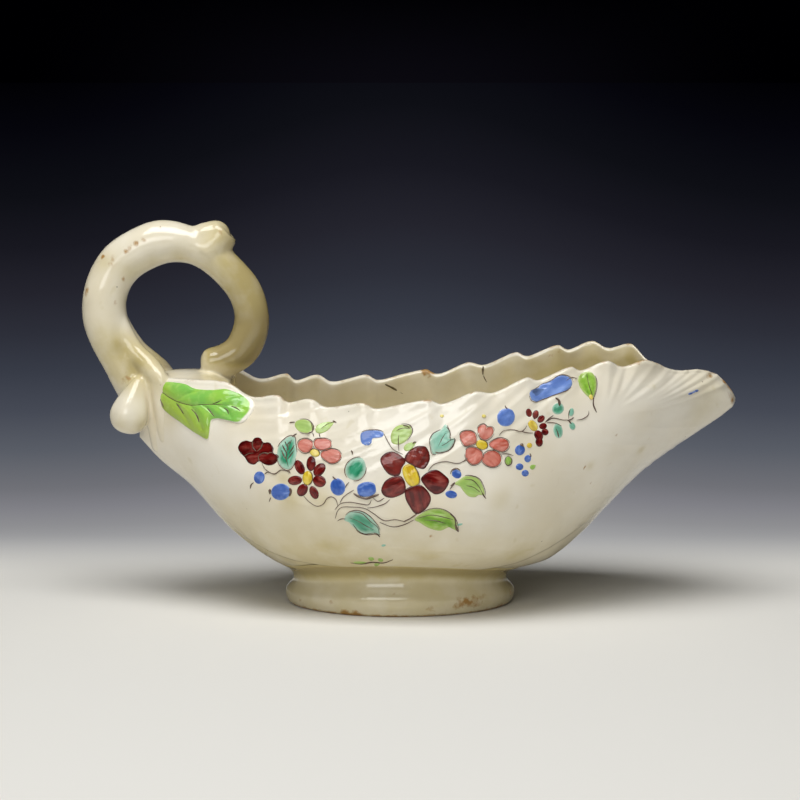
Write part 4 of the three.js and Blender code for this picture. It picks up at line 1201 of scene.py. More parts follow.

# %% [markdown]
# ## Enamels
#
# Enamel is a coloured lead glass, ground fine, brushed over the fired glaze and melted onto it in a third
# firing. It lies a tenth of a millimetre proud, as glossy as the glaze, with an index near 1.5. It is
# **translucent**, so a thin wash lets the cream through: strokes are deep where the brush was full, and
# pale at their edges. Each blot keeps four values: `edge` (0 in its middle, 1 at its rim), `along` and
# `across` for the brush's hairs, and one for how thin it was laid, which on blots in the bright band
# below the rim is also a painted highlight. One recipe makes every colour.

# %% Recipe for a brushed enamel


def enamel(name, body, deep, pale, rim, hairs, rim_from, rim_share):
    """A brushed enamel: its own colour, the deep and pale ends of its strokes, and the colour of its rim."""
    material, tree = new_material(name)
    place = add(tree, "TexCoord").outputs["Object"]
    edge, along, across, wash_and_sheen, seed = (
        add(tree, "Attribute", attribute_name=key).outputs["Fac"]
        for key in ("edge", "along", "across", "wash_and_sheen", "seed"))
    across = add(tree, "Math", {0: across, 1: hairs}, **TIMES)
    along = add(tree, "Math", {0: along, 1: 1.3}, **TIMES)
    brush = add(tree, "CombineXYZ", {0: across, 1: along, 2: seed})
    hair = add(tree, "TexNoise", {"Vector": brush, "Scale": 1.0, "Detail": 3.0})
    full = add(tree, "MapRange", {0: hair, 1: 0.56, 2: 0.36}, **EASED)
    tone = add(tree, "Mix", {0: full, 6: body, 7: deep}, **TINT)
    dry = add(tree, "MapRange", {0: hair, 1: 0.55, 2: 0.72, 4: 0.75}, **EASED)
    tone = add(tree, "Mix", {0: dry, 6: tone, 7: pale}, **TINT)
    thin = add(tree, "TexNoise", {"Vector": place, "Scale": 1000 / 2.6, "Detail": 3.0})  # 2.6 mm across
    thin = add(tree, "MapRange", {0: thin, 1: 0.48, 2: 0.75, 4: 0.4}, **EASED)
    tone = add(tree, "Mix", {0: thin, 6: tone, 7: pale}, **TINT)
    # thin washes pale the tone, and on blots in the bright band below the rim the same value is a painted
    # highlight
    tone = add(tree, "Mix", {0: wash_and_sheen, 6: tone, 7: pale}, **TINT)
    ragged = add(tree, "TexNoise", {"Vector": place, "Scale": 1000 / 1.3, "Detail": 2.0})
    near_rim = add(tree, "Math", {0: ragged, 1: 0.22, 2: edge}, **TIMES_PLUS)
    near_rim = add(tree, "MapRange", {0: near_rim, 1: rim_from + 0.11, 2: 1.06, 4: rim_share}, **EASED)
    tone = add(tree, "Mix", {0: near_rim, 6: tone, 7: rim}, **TINT)
    ridges = add(tree, "Bump", {"Height": hair, "Strength": 0.2, "Distance": 0.0001})
    glass = add(tree, "BsdfPrincipled", {"Base Color": tone, "Roughness": 0.1, "IOR": 1.5, "Normal": ridges})
    add(tree, "OutputMaterial", {"Surface": glass})
    return material


MAROON = enamel("maroon_enamel", "#6E1513", "#430708", "#A4584E", "#3B0708", 6.0, 0.72, 0.85)
CORAL = enamel("coral_enamel", "#D27A69", "#C25A47", "#E8B0A4", "#B0503E", 4.0, 0.72, 0.85)
BLUE = enamel("blue_enamel", "#4166B6", "#3155A6", "#8FABE4", "#7E9BD6", 3.0, 0.78, 0.75)
TEAL = enamel("teal_enamel", "#43A07B", "#1F8059", "#A6D6C4", "#B4D3C0", 4.0, 0.5, 0.9)
GREEN = enamel("green_enamel", "#86B636", "#689C25", "#C3DA90", "#B4C877", 4.0, 0.6, 0.8)
YELLOW = enamel("yellow_enamel", "#E0C336", "#CBA31B", "#F2E58C", "#C3A93A", 3.0, 0.8, 0.7)
print("enamels:", [material.name for material in bpy.data.materials if "enamel" in material.name])

# %% [markdown]
# ## Green on the moulded leaves
#
# The sprigs carry the same copper-green enamel, flooded on with a full brush over the relief. It gives
# the eye a wet bright green that is bluer where it lies deep and yellower where it is thin, and the
# brush stopped short of the leaf's edge, so a rim of cream is left round it.

# %% Flooded green enamel
LEAF_GREEN, LEAF_BRIGHT, LEAF_YELLOW, LEAF_PALE = "#82C257", "#97CC51", "#A3B84B", "#B9D876"
flooded, tree = new_material("green_enamel_on_moulded_leaf")
place = add(tree, "TexCoord").outputs["Object"]
paint, warm = (add(tree, "Attribute", attribute_name=key).outputs["Fac"] for key in ("paint", "warm"))
clouds = add(tree, "TexNoise", {"Vector": place, "Scale": 1000 / 6, "Detail": 3.0})
clouds = add(tree, "MapRange", {0: clouds, 1: 0.4, 2: 0.62}, **EASED)
tone = add(tree, "Mix", {0: clouds, 6: LEAF_GREEN, 7: LEAF_BRIGHT}, **TINT)
warm = add(tree, "Math", {0: warm, 1: 0.85}, **TIMES)
tone = add(tree, "Mix", {0: warm, 6: tone, 7: LEAF_YELLOW}, **TINT)
thin = add(tree, "TexNoise", {"Vector": place, "Scale": 1000 / 2.2, "Detail": 3.0})
thin = add(tree, "MapRange", {0: thin, 1: 0.5, 2: 0.75, 4: 0.35}, **EASED)
tone = add(tree, "Mix", {0: thin, 6: tone, 7: LEAF_PALE}, **TINT)
ragged = add(tree, "TexNoise", {"Vector": place, "Scale": 1000 / 1.8, "Detail": 3.0})
ragged = add(tree, "Math", {0: ragged, 1: 0.5, 2: paint}, **TIMES_PLUS)
painted_over = add(tree, "MapRange", {0: ragged, 1: 0.35, 2: 1.05}, **EASED)
tone = add(tree, "Mix", {0: painted_over, 6: CREAM, 7: tone}, **TINT)
ripple = add(tree, "TexNoise", {"Vector": place, "Scale": 1000 / 2.5, "Detail": 2.0})
ripple = add(tree, "Bump", {"Height": ripple, "Strength": 0.3, "Distance": 0.0002})
glass = add(tree, "BsdfPrincipled", {"Base Color": tone, "Roughness": 0.12, "IOR": 1.52, "Normal": ripple})
add(tree, "OutputMaterial", {"Surface": glass})
for sprig in sprigs:
    sprig.data.materials.append(flooded)
print("flooded green:", len(tree.nodes), "nodes")

# %% [markdown]
# ## The painted spray
#
# A painter put the flowers on in quick blots: a petal or a leaf is one or two strokes of a full brush.
# It is a free spray of garden flowers as many painters of the time used. A blot is given by its outline
# and the brush's direction, or, where it is a plain oval, by its middle, length, width, direction and
# how fast its two ends widen. Its last number, if any, says how thin it was laid; on blots in the bright
# band below the rim it also stands for a painted highlight. The blots on the right are mirrored onto the
# left, which the picture doesn't show.

# %% The shape of a blot
ROUND, LEAF, BLUNT = (0.5, 0.5), (0.55, 0.95), (0.34, 0.34)  # how fast a blot's two ends widen
BLOT_STEP = 1.5  # pixels between points


def blot_shape(blot):
    """A blot's outline in the picture, its middle, its brush's way, its length and width, and how thin it was
    laid, with painted highlight.
    """
    if isinstance(blot[0], list):
        points, turn, *thin = blot
        points = np.reshape(points, (-1, 2))
        girth = np.linalg.norm(points - np.roll(points, 1, axis=0), axis=1).sum()
        outline = closed_line(points, int(girth / BLOT_STEP))
        middle = 0.5 * (points.min(axis=0) + points.max(axis=0))
        length, width = np.ptp(points, axis=0).max(), np.ptp(points, axis=0).min()
    else:
        px, py, length, width, turn, (base, tip), *thin = blot
        middle = np.array([px, py])
    way = np.array([math.cos(math.radians(turn)), -math.sin(math.radians(turn))])
    if not isinstance(blot[0], list):
        angle = np.linspace(0, 2 * math.pi, int(max(24, length + width)), endpoint=False)
        along = 0.5 - 0.5 * np.cos(angle)
        fullest = base / (base + tip)
        widths = along**base * (1 - along) ** tip / (fullest**base * (1 - fullest) ** tip)
        across = -0.5 * width * widths * np.sign(np.sin(angle))
        outline = middle + length * (along[:, None] - 0.5) * way + across[:, None] * (way[1], -way[0])
    return outline, middle, way, length, width, thin[0] if thin else 0.0


print("a berry's outline has", len(blot_shape((280.7, 491.9, 20.4, 17.6, 10, ROUND))[0]), "points")

# %% Maroon flowers
BIG_FLOWER = [
    ([379.6, 458.9, 385, 452.7, 392.1, 450.9, 402, 455.4, 406.4, 461, 402.6, 467.9, 399.5, 475.9, 390.4, 475.9,
     383.2, 468.8], 150, 0.2),
    ([380.6, 491.1, 384.4, 481.3, 392.1, 476.4, 401.1, 475.5, 405.5, 482.1, 405.8, 491.9, 397.5, 497, 390.4,
     498.4, 384.1, 496.6], 205, 0.1),
    ([404.8, 455.5, 411.8, 448.2, 419.8, 445.1, 426.1, 446.4, 430, 453.6, 430, 460.7, 424.6, 469.4, 418, 468.5,
     409.1, 464.4, 404.4, 460], 62, 0.2),
    ([404.9, 490.1, 411.8, 485.4, 419.8, 484.2, 428.3, 491.1, 431.4, 499.1, 427.9, 507.4, 419.8, 514, 415,
     514.2, 409.4, 507.1, 405, 498.2], -75, 0.1),
    ([420.2, 478.6, 428.3, 471, 435.9, 469, 444.2, 473.9, 449.8, 480.4, 446.8, 488.8, 442.1, 493.3, 435.9, 495,
     429.2, 491.4, 423.9, 485.7], -8)]
SMALL_FLOWER = [
    (299.7, 467.3, 16.6, 9.8, 115, ROUND), (311.1, 463.6, 16, 10, 86, ROUND),
    (319.4, 469.8, 16, 11, 50, ROUND), (319.4, 481.2, 15, 13, -25, ROUND), (314, 492.6, 15, 9.2, -65, ROUND),
    (302.4, 490.1, 14.5, 11, -122, ROUND), (295, 480.4, 15.4, 10, 186, ROUND)]
ROSE_BUD = [
    ([237.4, 447.8, 240, 442.4, 245.4, 440.2, 251.8, 441.2, 254.3, 437.6, 260.7, 437.6, 263.6, 442.2, 269.6,
     442.2, 274, 447.8, 273.9, 452.9, 279, 456.7, 276.3, 463.5, 269.6, 465.9, 263.3, 464, 259.4, 461.4, 254.3,
     465, 248.4, 463.5, 243.8, 456.9, 239.8, 453], 10)]
SIDE_FLOWER = [
    (528.9, 412.8, 9.6, 6.6, 105, ROUND, 0.25), (535.6, 414.5, 9.8, 7, 75, ROUND, 0.2),
    (541, 419, 9.4, 7, 45, ROUND), (543, 426.2, 9, 7.2, 12, ROUND), (545, 432, 8.2, 7.6, -20, ROUND),
    (538.6, 435.4, 12, 9.4, -60, ROUND), (539.2, 442, 10.5, 8.2, -86, ROUND)]
MAROON_PETALS = ROSE_BUD + SMALL_FLOWER + BIG_FLOWER + SIDE_FLOWER
print("maroon petals:", len(MAROON_PETALS))

# %% Coral flowers and yellow centres
CORAL_FLOWERS = [
    ([297.2, 446.5, 298.6, 441, 304.1, 438.3, 309.2, 439.1, 313.4, 442.5, 312.8, 447.8, 309.2, 452.2, 304.1,
     453.2, 299.9, 450.8], 170, 0.25),
    ([313.2, 444, 315.2, 439.1, 320, 438.3, 325.8, 438.3, 331.3, 441.2, 331.5, 446.7, 327, 450.3, 320.7, 450.3,
     315.8, 448.8], 10, 0.2),
    ([320, 454.9, 324.3, 449.9, 332.1, 448.5, 339.7, 451.2, 341.7, 456.7, 337.6, 462.3, 330.9, 463.7, 324.1,
     459.7], -18, 0.25),
    ([459.2, 436.5, 461.3, 431.8, 468.8, 430.3, 474.8, 432.6, 477.1, 438.6, 476.3, 443.3, 470.2, 445.5, 464.3,
     446.2, 461.1, 441.6], 150, 0.1),
    ([476.8, 430.2, 479, 425.5, 484.7, 424, 487, 426.7, 492.2, 426.8, 494.3, 431.4, 491.6, 436.9, 485.6, 440.6,
     481.2, 439.2, 478.1, 434.6], 75, 0.2),
    ([488.4, 444.4, 493.8, 439.5, 501, 437.7, 508.5, 441, 509.2, 447.2, 504, 451.8, 498.2, 451.1, 492.2,
     448.3], 5, 0.0),
    ([482.2, 456.8, 486.6, 451.4, 495.4, 450.6, 500.8, 455, 501.6, 461, 498.5, 465.7, 492.6, 467.5, 485.3,
     465.1, 481.5, 460.5], -50, 0.1),
    ([465.3, 451.2, 467, 447.9, 474.4, 447.1, 481.1, 450.8, 483.3, 456.8, 478.9, 463.6, 472.3, 465.1, 467.7,
     461.5, 465.1, 456.8], -130, 0.1)]
CENTRES = [
    (411, 475.4, 23.6, 15, -66, BLUNT), (307.5, 478, 14.6, 10.4, 85, ROUND),
    (314.7, 452.9, 10.8, 7.8, -20, ROUND, 0.4), (481.8, 444.7, 12.4, 9.8, -20, ROUND),
    (532.9, 425.6, 12.6, 8.6, -56, ROUND, 0.2), (529.5, 445.4, 5.6, 5.4, 0, ROUND, 0.1),
    (483.9, 416.1, 4.6, 3.6, 0, ROUND, 0.8), (442, 416, 4, 3, 0, ROUND, 0.9),
    (591, 397, 6, 4.4, -70, ROUND, 0.5)]
print("coral petals:", len(CORAL_FLOWERS), "- yellow centres:", len(CENTRES))

# %% Blue buds and berries
KIDNEY_BUD = (
    [360, 438.9, 360.4, 433.6, 365.1, 430.7, 373, 430, 380.8, 430.7, 384.3, 433.7, 382.8, 436.8, 376.8, 437.8,
     372.3, 438.7, 371.4, 443, 368, 445.8, 363.2, 445.1, 360.8, 442.3], 10, 0.35)
BLUE_BUD = (
    [529.6, 392.3, 532.5, 389.4, 538.5, 387.6, 540.2, 384.6, 546, 383, 553, 379.5, 557.4, 376.4, 563.2, 374.9,
     570.6, 377.8, 572.8, 383.2, 569.6, 388.6, 562.1, 392.3, 551.9, 395.9, 545.4, 398.6, 541.7, 399.5, 536.6,
     402, 531.2, 399.8], 24, 0.35)
BERRIES = [
    (259.3, 477.6, 14, 12, 80, ROUND), (280.7, 491.9, 20.4, 17.6, 10, ROUND),
    (337.8, 487, 18.4, 15.8, 105, ROUND), (366.5, 489.4, 20, 15.6, 8, BLUNT),
    (456.6, 474, 11.6, 9.6, -30, ROUND), (451.2, 494.4, 13, 8.4, -10, ROUND),
    (506, 417.3, 19.8, 18.4, 50, ROUND, 0.25), (520, 450, 11.8, 11, 60, ROUND),
    (527.7, 458.7, 8.4, 7.6, 80, ROUND), (519.6, 466.8, 8.6, 7.6, 0, ROUND), (525.2, 473.2, 8, 7.4, 0, ROUND),
    (690.4, 393.6, 5, 2.2, 20, ROUND), (696.6, 390.8, 4.4, 2.6, 20, ROUND),
    (693.5, 392.2, 6, 1.8, 22, ROUND, 0.6), KIDNEY_BUD, BLUE_BUD]
print("blue blots:", len(BERRIES))

# %% Teal leaves
VEINED_LEAF = (
    [277, 451.6, 278.9, 445.1, 283.5, 439.8, 290.1, 435.8, 295, 437.2, 295.8, 444, 297, 451.6, 295.7, 459.5,
     293, 466.1, 288.8, 470, 283.5, 468.6, 279.4, 464.6, 277.2, 458], 77)
ROUND_LEAF = (356, 468.6, 25, 20.5, 60, (0.5, 0.6))
LOW_LEAF = (
    [343.6, 519.9, 347, 513.7, 352.6, 511, 360.2, 511, 368.1, 514.9, 374.7, 521.4, 379.2, 528, 380, 535.3,
     375.4, 533.8, 367.9, 534.5, 360, 532.6, 353.4, 527.4, 348.2, 522.2], -25, 0.15)
FORKED_LEAF = (
    [445.6, 424, 450.3, 434.4, 449.9, 440.2, 455.6, 438.2, 453.1, 444.4, 448.8, 450.2, 440.9, 452.9, 432.6,
     454.3, 430.6, 447, 429.7, 440.7, 433.3, 433.5, 440.5, 429.8], 66, 0.7)
TEAL_LEAVES = [
    VEINED_LEAF, ROUND_LEAF, LOW_LEAF, FORKED_LEAF, (558, 408.7, 13.4, 12.6, 30, ROUND, 0.15),
    (558, 430.8, 16, 10, -80, ROUND, 0.35), (571.3, 412.2, 9.4, 5.8, 80, ROUND, 0.55),
    (572.3, 426, 8.8, 6.6, -70, ROUND, 0.35), (459.6, 524.5, 7, 2.4, 10, ROUND, 0.6),
    (383.6, 545.4, 5, 2.4, 10, ROUND, 0.7)]
print("teal leaves:", len(TEAL_LEAVES))

# %% Green leaves
PALE_LEAF = (
    [294, 424.8, 296, 420.6, 301.5, 419.1, 307.9, 419.8, 312.8, 424.6, 313.3, 429.5, 309.4, 433.1, 302.8,
     433.1, 297.3, 430.4], 172, 0.55)
HEART_LEAF = (
    [390.2, 437.6, 391.6, 430.8, 397, 425.6, 403.6, 424.2, 410.4, 425.7, 412.5, 431.2, 409.2, 437.9, 403.9,
     443.2, 397.2, 445.2, 391.6, 443.2], 62, 0.8)
LONG_LEAF = (
    [413.9, 519.6, 420.5, 513.7, 431.4, 508.8, 442.1, 509.2, 450.6, 513.8, 456.1, 520.3, 457.7, 530.9, 450.2,
     527.4, 440.4, 531, 428.6, 528.3, 419.5, 522.9], -6)
TURNED_LEAF = (
    [454.1, 483.5, 460, 478.8, 464.3, 475.9, 471.6, 475.9, 479, 478.8, 483.3, 486.1, 484.8, 495.2, 478.8,
     495.3, 475.9, 497.4, 468.6, 496.7, 462.8, 490.9, 459.8, 486.7], -24, 0.4)
HANGING_LEAF = (588.4, 385.4, 29, 18.5, -75, (0.42, 0.8), 0.05)
GREEN_LEAVES = [
    PALE_LEAF, (324.8, 426.7, 22, 10.2, 25, LEAF, 0.75), HEART_LEAF, (410, 446, 15, 7.6, 32, LEAF, 0.75),
    LONG_LEAF, TURNED_LEAF, HANGING_LEAF, (508.3, 460.7, 9.6, 7, 85, ROUND, 0.2),
    (533, 466.8, 7.4, 5.6, 30, LEAF, 0.2), (360, 562.6, 15, 3, 2, LEAF, 0.3),
    (371.2, 558.8, 6.6, 4, -10, ROUND, 0.3), (380.6, 560, 6, 3.6, -15, ROUND, 0.3),
    (377, 564.2, 6.6, 4, 20, ROUND, 0.3)]
print("green leaves:", len(GREEN_LEAVES))

# %% Paint the blots
ENAMEL_LIFT = 0.07  # how far the enamel's edge stands over the glaze
ENAMEL_DOME = 0.07  # how much further its middle does
OVERLAP_STEP = 0.012  # keeps blots of one colour apart where they overlap
CENTRE_LIFT = 0.16  # the yellow centres lie over the petals
LAST_MIRRORED = 640  # towards the lip, which was pinched unevenly, nothing is mirrored


def paint_blots(name, material, blots, lift=ENAMEL_LIFT):
    """One piece of all the blots of a colour, on both sides. A blot may end with how thin its wash is, which on
    blots in the bright band below the rim is also a painted highlight.
    """
    points, faces = [], []
    values = {"edge": [], "along": [], "across": [], "wash_and_sheen": [], "seed": []}
    for number, blot in enumerate(blots):
        outline, middle, way, length, width, thin = blot_shape(blot)
        rings = int(max(4, math.ceil(0.5 * length / BLOT_STEP)))
        stack = lift + OVERLAP_STEP * (number % 4)

        def height_at(pixels, share):
            return stack + ENAMEL_DOME * (1 - share**2) - 0.2 * smoothstep(share, 0.97, 1.0)

        raised, pixels, share = patch_points(bowl_surface, outline, middle, rings, height_at)
        forward = (pixels - middle) @ way / length + 0.5
        sideways = (pixels - middle) @ (way[1], -way[0]) / width
        for side in (1, -1) if middle[0] < LAST_MIRRORED else (1,):
            faces += patch_faces(rings, len(outline), len(points))
            points += (raised * (1, side, 1)).tolist()
            for key, value in (("edge", share), ("along", forward), ("across", sideways)):
                values[key] += [*value, 1.0]
            # the wash, and painted highlight on blots in the bright band below the rim
            values["wash_and_sheen"] += [thin] * len(raised)
            values["seed"] += [number * 3.7] * len(raised)
    piece = make_piece(name, points, faces, material)
    facing_out(piece)
    for key, value in values.items():
        set_attribute(piece, key, value)
    return piece


painted = [
    paint_blots("enamel_coral", CORAL, CORAL_FLOWERS),
    paint_blots("enamel_green", GREEN, GREEN_LEAVES),
    paint_blots("enamel_teal", TEAL, TEAL_LEAVES),
    paint_blots("enamel_blue", BLUE, BERRIES),
    paint_blots("enamel_maroon", MAROON, MAROON_PETALS),
    paint_blots("enamel_yellow", YELLOW, CENTRES, CENTRE_LIFT),
]
print("painted:", sum(len(piece.data.polygons) for piece in painted), "faces")

# %% [markdown]
# ## Stems, outlines and veins
#
# Last of all the painter drew stems, leaf veins and broken outlines with a fine brush in dark brown. A
# stroke swells where the brush is pressed. Each is a row of points on the surface with a `half_width`,
# and one Geometry Nodes tree turns all the rows into fine cords that lie half sunk in the glass, which
# is quicker than a curve object for each and keeps them one piece. The same tree draws the two stained
# cracks inside the bowl. Strokes are gathered by the width of the brush, in millimetres.

# %% Stems
THIN, MIDDLING, HEAVY = 0.25, 0.38, 0.75
STEMS = [
    (THIN, [
        [261.8, 462.9, 265.4, 469.1, 274.3, 474, 281.4, 470, 290.4, 472.7],
        [264.5, 474, 267.4, 472.4, 270, 472.6], [270.9, 497.4, 269.2, 501.6],
        [303.8, 495.9, 309.1, 501.7, 317.1, 506.2, 323.4, 503.9, 327, 498.6, 331.4, 496.8, 335.9, 499.5, 337.8,
         505.4], [340.2, 502.6, 343, 497.6, 348, 493.6, 354, 490],
        [335.4, 518.4, 337.6, 511, 341.6, 507.4, 352, 507, 364.5, 508.4, 373.4, 513.4, 384.1, 520.5, 395.7,
         519.6, 405.5, 521.9], [335, 509.6, 340.4, 503.8, 350.2, 502.2, 360.9, 504, 368.9, 504.5, 371.4, 500],
        [367.1, 508, 373.4, 507.3, 385, 503.6, 389.8, 499.6], [373.4, 498.2, 377.9, 501.3, 384.4, 498],
        [379.6, 522.3, 393, 526.8, 402.9, 525, 414.5, 519.6], [337.4, 521, 341, 519, 346.6, 518.8],
        [427.9, 471, 434.1, 464.3, 444.8, 461.6, 458.2, 463.4, 464, 461],
        [384.1, 433.9, 387.7, 441.1, 393, 449.1, 402.9, 454.5], [399.3, 432.1, 398.4, 440.2, 398.9, 451],
        [446.4, 427, 449.6, 430.6, 450.8, 435.6], [454.8, 438, 453.4, 446, 446.6, 451.6, 438, 452.7],
        [349.3, 482.1, 346.6, 485, 345.4, 488],
        [498.9, 435.4, 503, 431, 508, 429.8, 514, 430, 521.3, 431.4, 524.6, 429, 527, 425.4],
        [521.3, 431.4, 527, 432.8, 533, 433], [500.9, 454.1, 507, 453.8, 513.4, 455.6],
        [546.8, 421.4, 553, 418.2, 563.2, 420, 568.4, 420], [568.6, 419, 568.8, 413, 570.4, 409],
        [546.8, 422.6, 555, 423, 561.4, 426], [588.7, 410.7, 588.2, 414.8, 582.6, 418.9, 576.4, 420],
        [311.4, 423, 312.4, 431.6, 308.6, 432.4], [312.7, 432.5, 314, 437], [319, 433.4, 320.3, 437.8],
        [320.7, 428.9, 328.8, 423.8, 336, 421.8], [576.8, 378.4, 571, 377.6, 566, 381]]),
    (MIDDLING, [
        [287.5, 471, 289, 471.6, 290.6, 473], [253.8, 482.6, 251.4, 484.6, 250.4, 488.4],
        [332.6, 476.4, 334.6, 478.4, 337, 479.4], [403.5, 521.8, 410, 518.6, 416.6, 514],
        [462, 462, 465, 460.4, 467.4, 458.2], [403, 425.6, 407, 426, 410, 428.6],
        [412.4, 444.4, 414.4, 442.2, 416.4, 442], [435, 452, 439, 453, 444, 452.4],
        [351.3, 450.2, 352.2, 452, 352.4, 454.6], [544.8, 422.6, 548, 419.4, 553.4, 415.2],
        [567, 420.6, 570.4, 419.6, 573.6, 417.6], [568, 420, 569.4, 421.6, 571.4, 424],
        [505, 405.6, 506, 407.6, 507.6, 409], [593.8, 397.4, 593.2, 404.2, 596.6, 412.6],
        [289.6, 422.8, 292.4, 422.4, 295, 422.2], [332.8, 421, 334.6, 421.6, 336.4, 423],
        [350.4, 562.6, 362, 563.6, 372, 562, 384, 562.6, 393, 559.4]]),
    (HEAVY, [
        [555.4, 397.8, 558.8, 400.6, 559.4, 406]])]
print("stems:", sum(len(lines) for _, lines in STEMS))

# %% Veins and folds
LEAF_VEINS = [
    (THIN, [
        [288.6, 467.4, 286.4, 457.6, 287.8, 448.6, 292.2, 439.6],
        [351.1, 511.6, 361.8, 513.4, 370.7, 521.4, 377.9, 527.7, 379.4, 535],
        [349, 517.6, 357, 520.4, 366, 525.6, 374.4, 530],
        [352.6, 523.6, 358, 530.4, 364.5, 533.6, 373.4, 532.8],
        [417.1, 518.3, 431.4, 515, 445.7, 517.6, 453, 519.6], [424, 519.8, 436, 520.6, 446, 523.4],
        [464.2, 479.6, 472.3, 480.1, 478.5, 486.2, 482.4, 493.4], [466, 485.6, 473, 487, 480, 492],
        [396.6, 430.4, 403.6, 428, 409.6, 429], [437.6, 447.6, 441.4, 440, 446.4, 431.6],
        [441, 446, 446, 443.4, 452, 439], [586.6, 374, 588.6, 384, 592.4, 396]]),
    (MIDDLING, [
        [281.4, 450, 284.6, 456.8, 286.6, 459.4], [282.4, 445, 286, 452, 287.4, 454.8],
        [285, 441.4, 287.8, 447.6, 288.6, 450.4], [294, 450.4, 290.4, 455.8, 287.8, 459.4],
        [294.4, 445, 291.4, 450.4, 288.8, 454], [292.6, 436.6, 295, 434.8, 297, 433.8],
        [290.4, 441.6, 288.4, 443.4, 287.4, 445.8], [373.4, 532.6, 377, 533.6, 380, 537],
        [450, 514, 454.8, 518, 455.6, 525], [481.8, 492, 483.6, 495.4, 486, 498.6],
        [556, 428.6, 557.6, 433, 558.6, 437.4]]),
    (HEAVY, [
        [455.3, 524, 456.4, 527.6, 458.4, 531.6]])]
BUD_FOLDS = [
    (MIDDLING, [
        [252.6, 441, 252.8, 447, 256.4, 451.4], [263, 442.4, 261.2, 447.6, 257.2, 451.4],
        [259.4, 461.4, 258.6, 456.6, 262.6, 453.2, 269, 453.4]]),
    (THIN, [
        [243.8, 456.4, 249, 453.6, 254, 453], [274, 453.4, 270, 452.6, 266.6, 455]])]
SPRIG_STROKES = [
    (THIN, [
        [158.4, 389, 168.7, 396.8, 177.1, 401.4, 190.9, 405.2, 202.4, 404.6, 213.9, 404.4, 229.2, 405.4],
        [212, 404, 217, 402.4, 221.5, 400.2]]),
    (MIDDLING, [
        [160.3, 399.1, 161.8, 402.9, 163.9, 407.4], [176.4, 403.3, 180.2, 408.3, 183.6, 414],
        [191.4, 409, 196.3, 414.4, 199.3, 422.4], [207.4, 408, 210.8, 412.1, 214.4, 416.6],
        [223.8, 407.9, 227.4, 410.4, 228.6, 414.6], [231, 406.2, 235.3, 407.5, 240.3, 410.6]])]
print("veins:", sum(len(lines) for _, lines in LEAF_VEINS + SPRIG_STROKES))

# %% Shaded rims, outlines and cracks
SHADED_RIMS = [  # crescents on a berry's shaded side, and firm outlines
    (HEAVY, [
        [353.6, 493.4, 359.1, 496.6, 366.3, 498.6, 372.5, 496.6, 379, 494.4], [269.9, 489, 270, 494],
        [289.7, 488, 291, 491.8, 289.4, 496], [519.8, 445.2, 521.4, 444.6, 523.4, 446.6]]),
    (MIDDLING, [
        [450.2, 474.1, 452, 470.2, 457.3, 468.6, 460.6, 471], [529.8, 453.4, 530.6, 455, 530.6, 457],
        [450.4, 486, 454.8, 482.4, 449.6, 489.4], [275.6, 454, 278.4, 456.4, 277, 459.6]]),
    (THIN, [
        [508.4, 455.8, 511.8, 459.6, 511, 464, 507.6, 465.6, 504.8, 461.8, 505.6, 457.8, 508.4, 455.8]])]
CRACKS = [
    (HEAVY, [
        [385.1, 384.2, 389, 386.2, 392.8, 388, 397, 390.6], [483.4, 366, 482.8, 370, 482.9, 375]]),
    (THIN, [
        [396, 390, 400.4, 392.5, 408, 396.3, 413, 398]]),
    (MIDDLING, [
        [482.9, 374, 484.4, 378, 488.4, 384.6]])]
OUTLINED = [  # a blot, and the parts of its outline that are drawn
    (petal, start, start + reach) for start, reach in ((8, 160), (185, 160)) for petal in CORAL_FLOWERS] + [
    (VEINED_LEAF, 20, 175), (VEINED_LEAF, 200, 330), (ROUND_LEAF, 195, 345), (ROUND_LEAF, 20, 120),
    (LOW_LEAF, 20, 185), (LOW_LEAF, 200, 300), (FORKED_LEAF, 10, 150), (FORKED_LEAF, 200, 330),
    (PALE_LEAF, 60, 300), (HEART_LEAF, 100, 240), (BLUE_BUD, 8, 172), (BLUE_BUD, 190, 350),
    (KIDNEY_BUD, 40, 160), (LONG_LEAF, 40, 190), (TURNED_LEAF, 60, 200), (HANGING_LEAF, 185, 300),
    (CENTRES[2], 180, 350), (CENTRES[3], 150, 300), (CENTRES[1], 20, 160), (CENTRES[0], 200, 340)]
print("outlined blots:", len(OUTLINED))

# %% Rows of points on the surface


def stroke_rows(surface, strokes, lift):
    """Rows of points on a surface, with widths that swell and taper like a brush's."""
    rows = []
    for width, pixels in ((width, np.reshape(line, (-1, 2))) for width, lines in strokes for line in lines):
        length = np.linalg.norm(np.diff(pixels, axis=0), axis=1).sum()
        path = spline_through(pixels, int(max(8, length / 1.2)))
        points, normals = seen_at(surface, path)
        t = np.linspace(0, 1, len(path))
        swell = (0.35 + 0.65 * np.sin(math.pi * t) ** 0.6) * (1 + 0.18 * np.sin(7 * t + pixels[0][0]))
        rows.append((points + normals * lift, 0.5 * width * swell, float(np.max(path[:, 0]))))
    return rows


def arcs_of(outlined):
    """Strokes along parts of blots' outlines, a shade outside them. Parts run from 0 to 360."""
    lines = []
    for blot, start, end in outlined:
        outline, middle, *_ = blot_shape(blot)
        outline = middle + (outline - middle) * 1.02
        at = np.linspace(start, end, int(max(8, (end - start) / 14))) / 360 * len(outline)
        low = np.floor(at).astype(int)
        lines.append(mix(outline[low % len(outline)], outline[(low + 1) % len(outline)], (at - low)[:, None]))
    return [(THIN * 0.9, lines)]


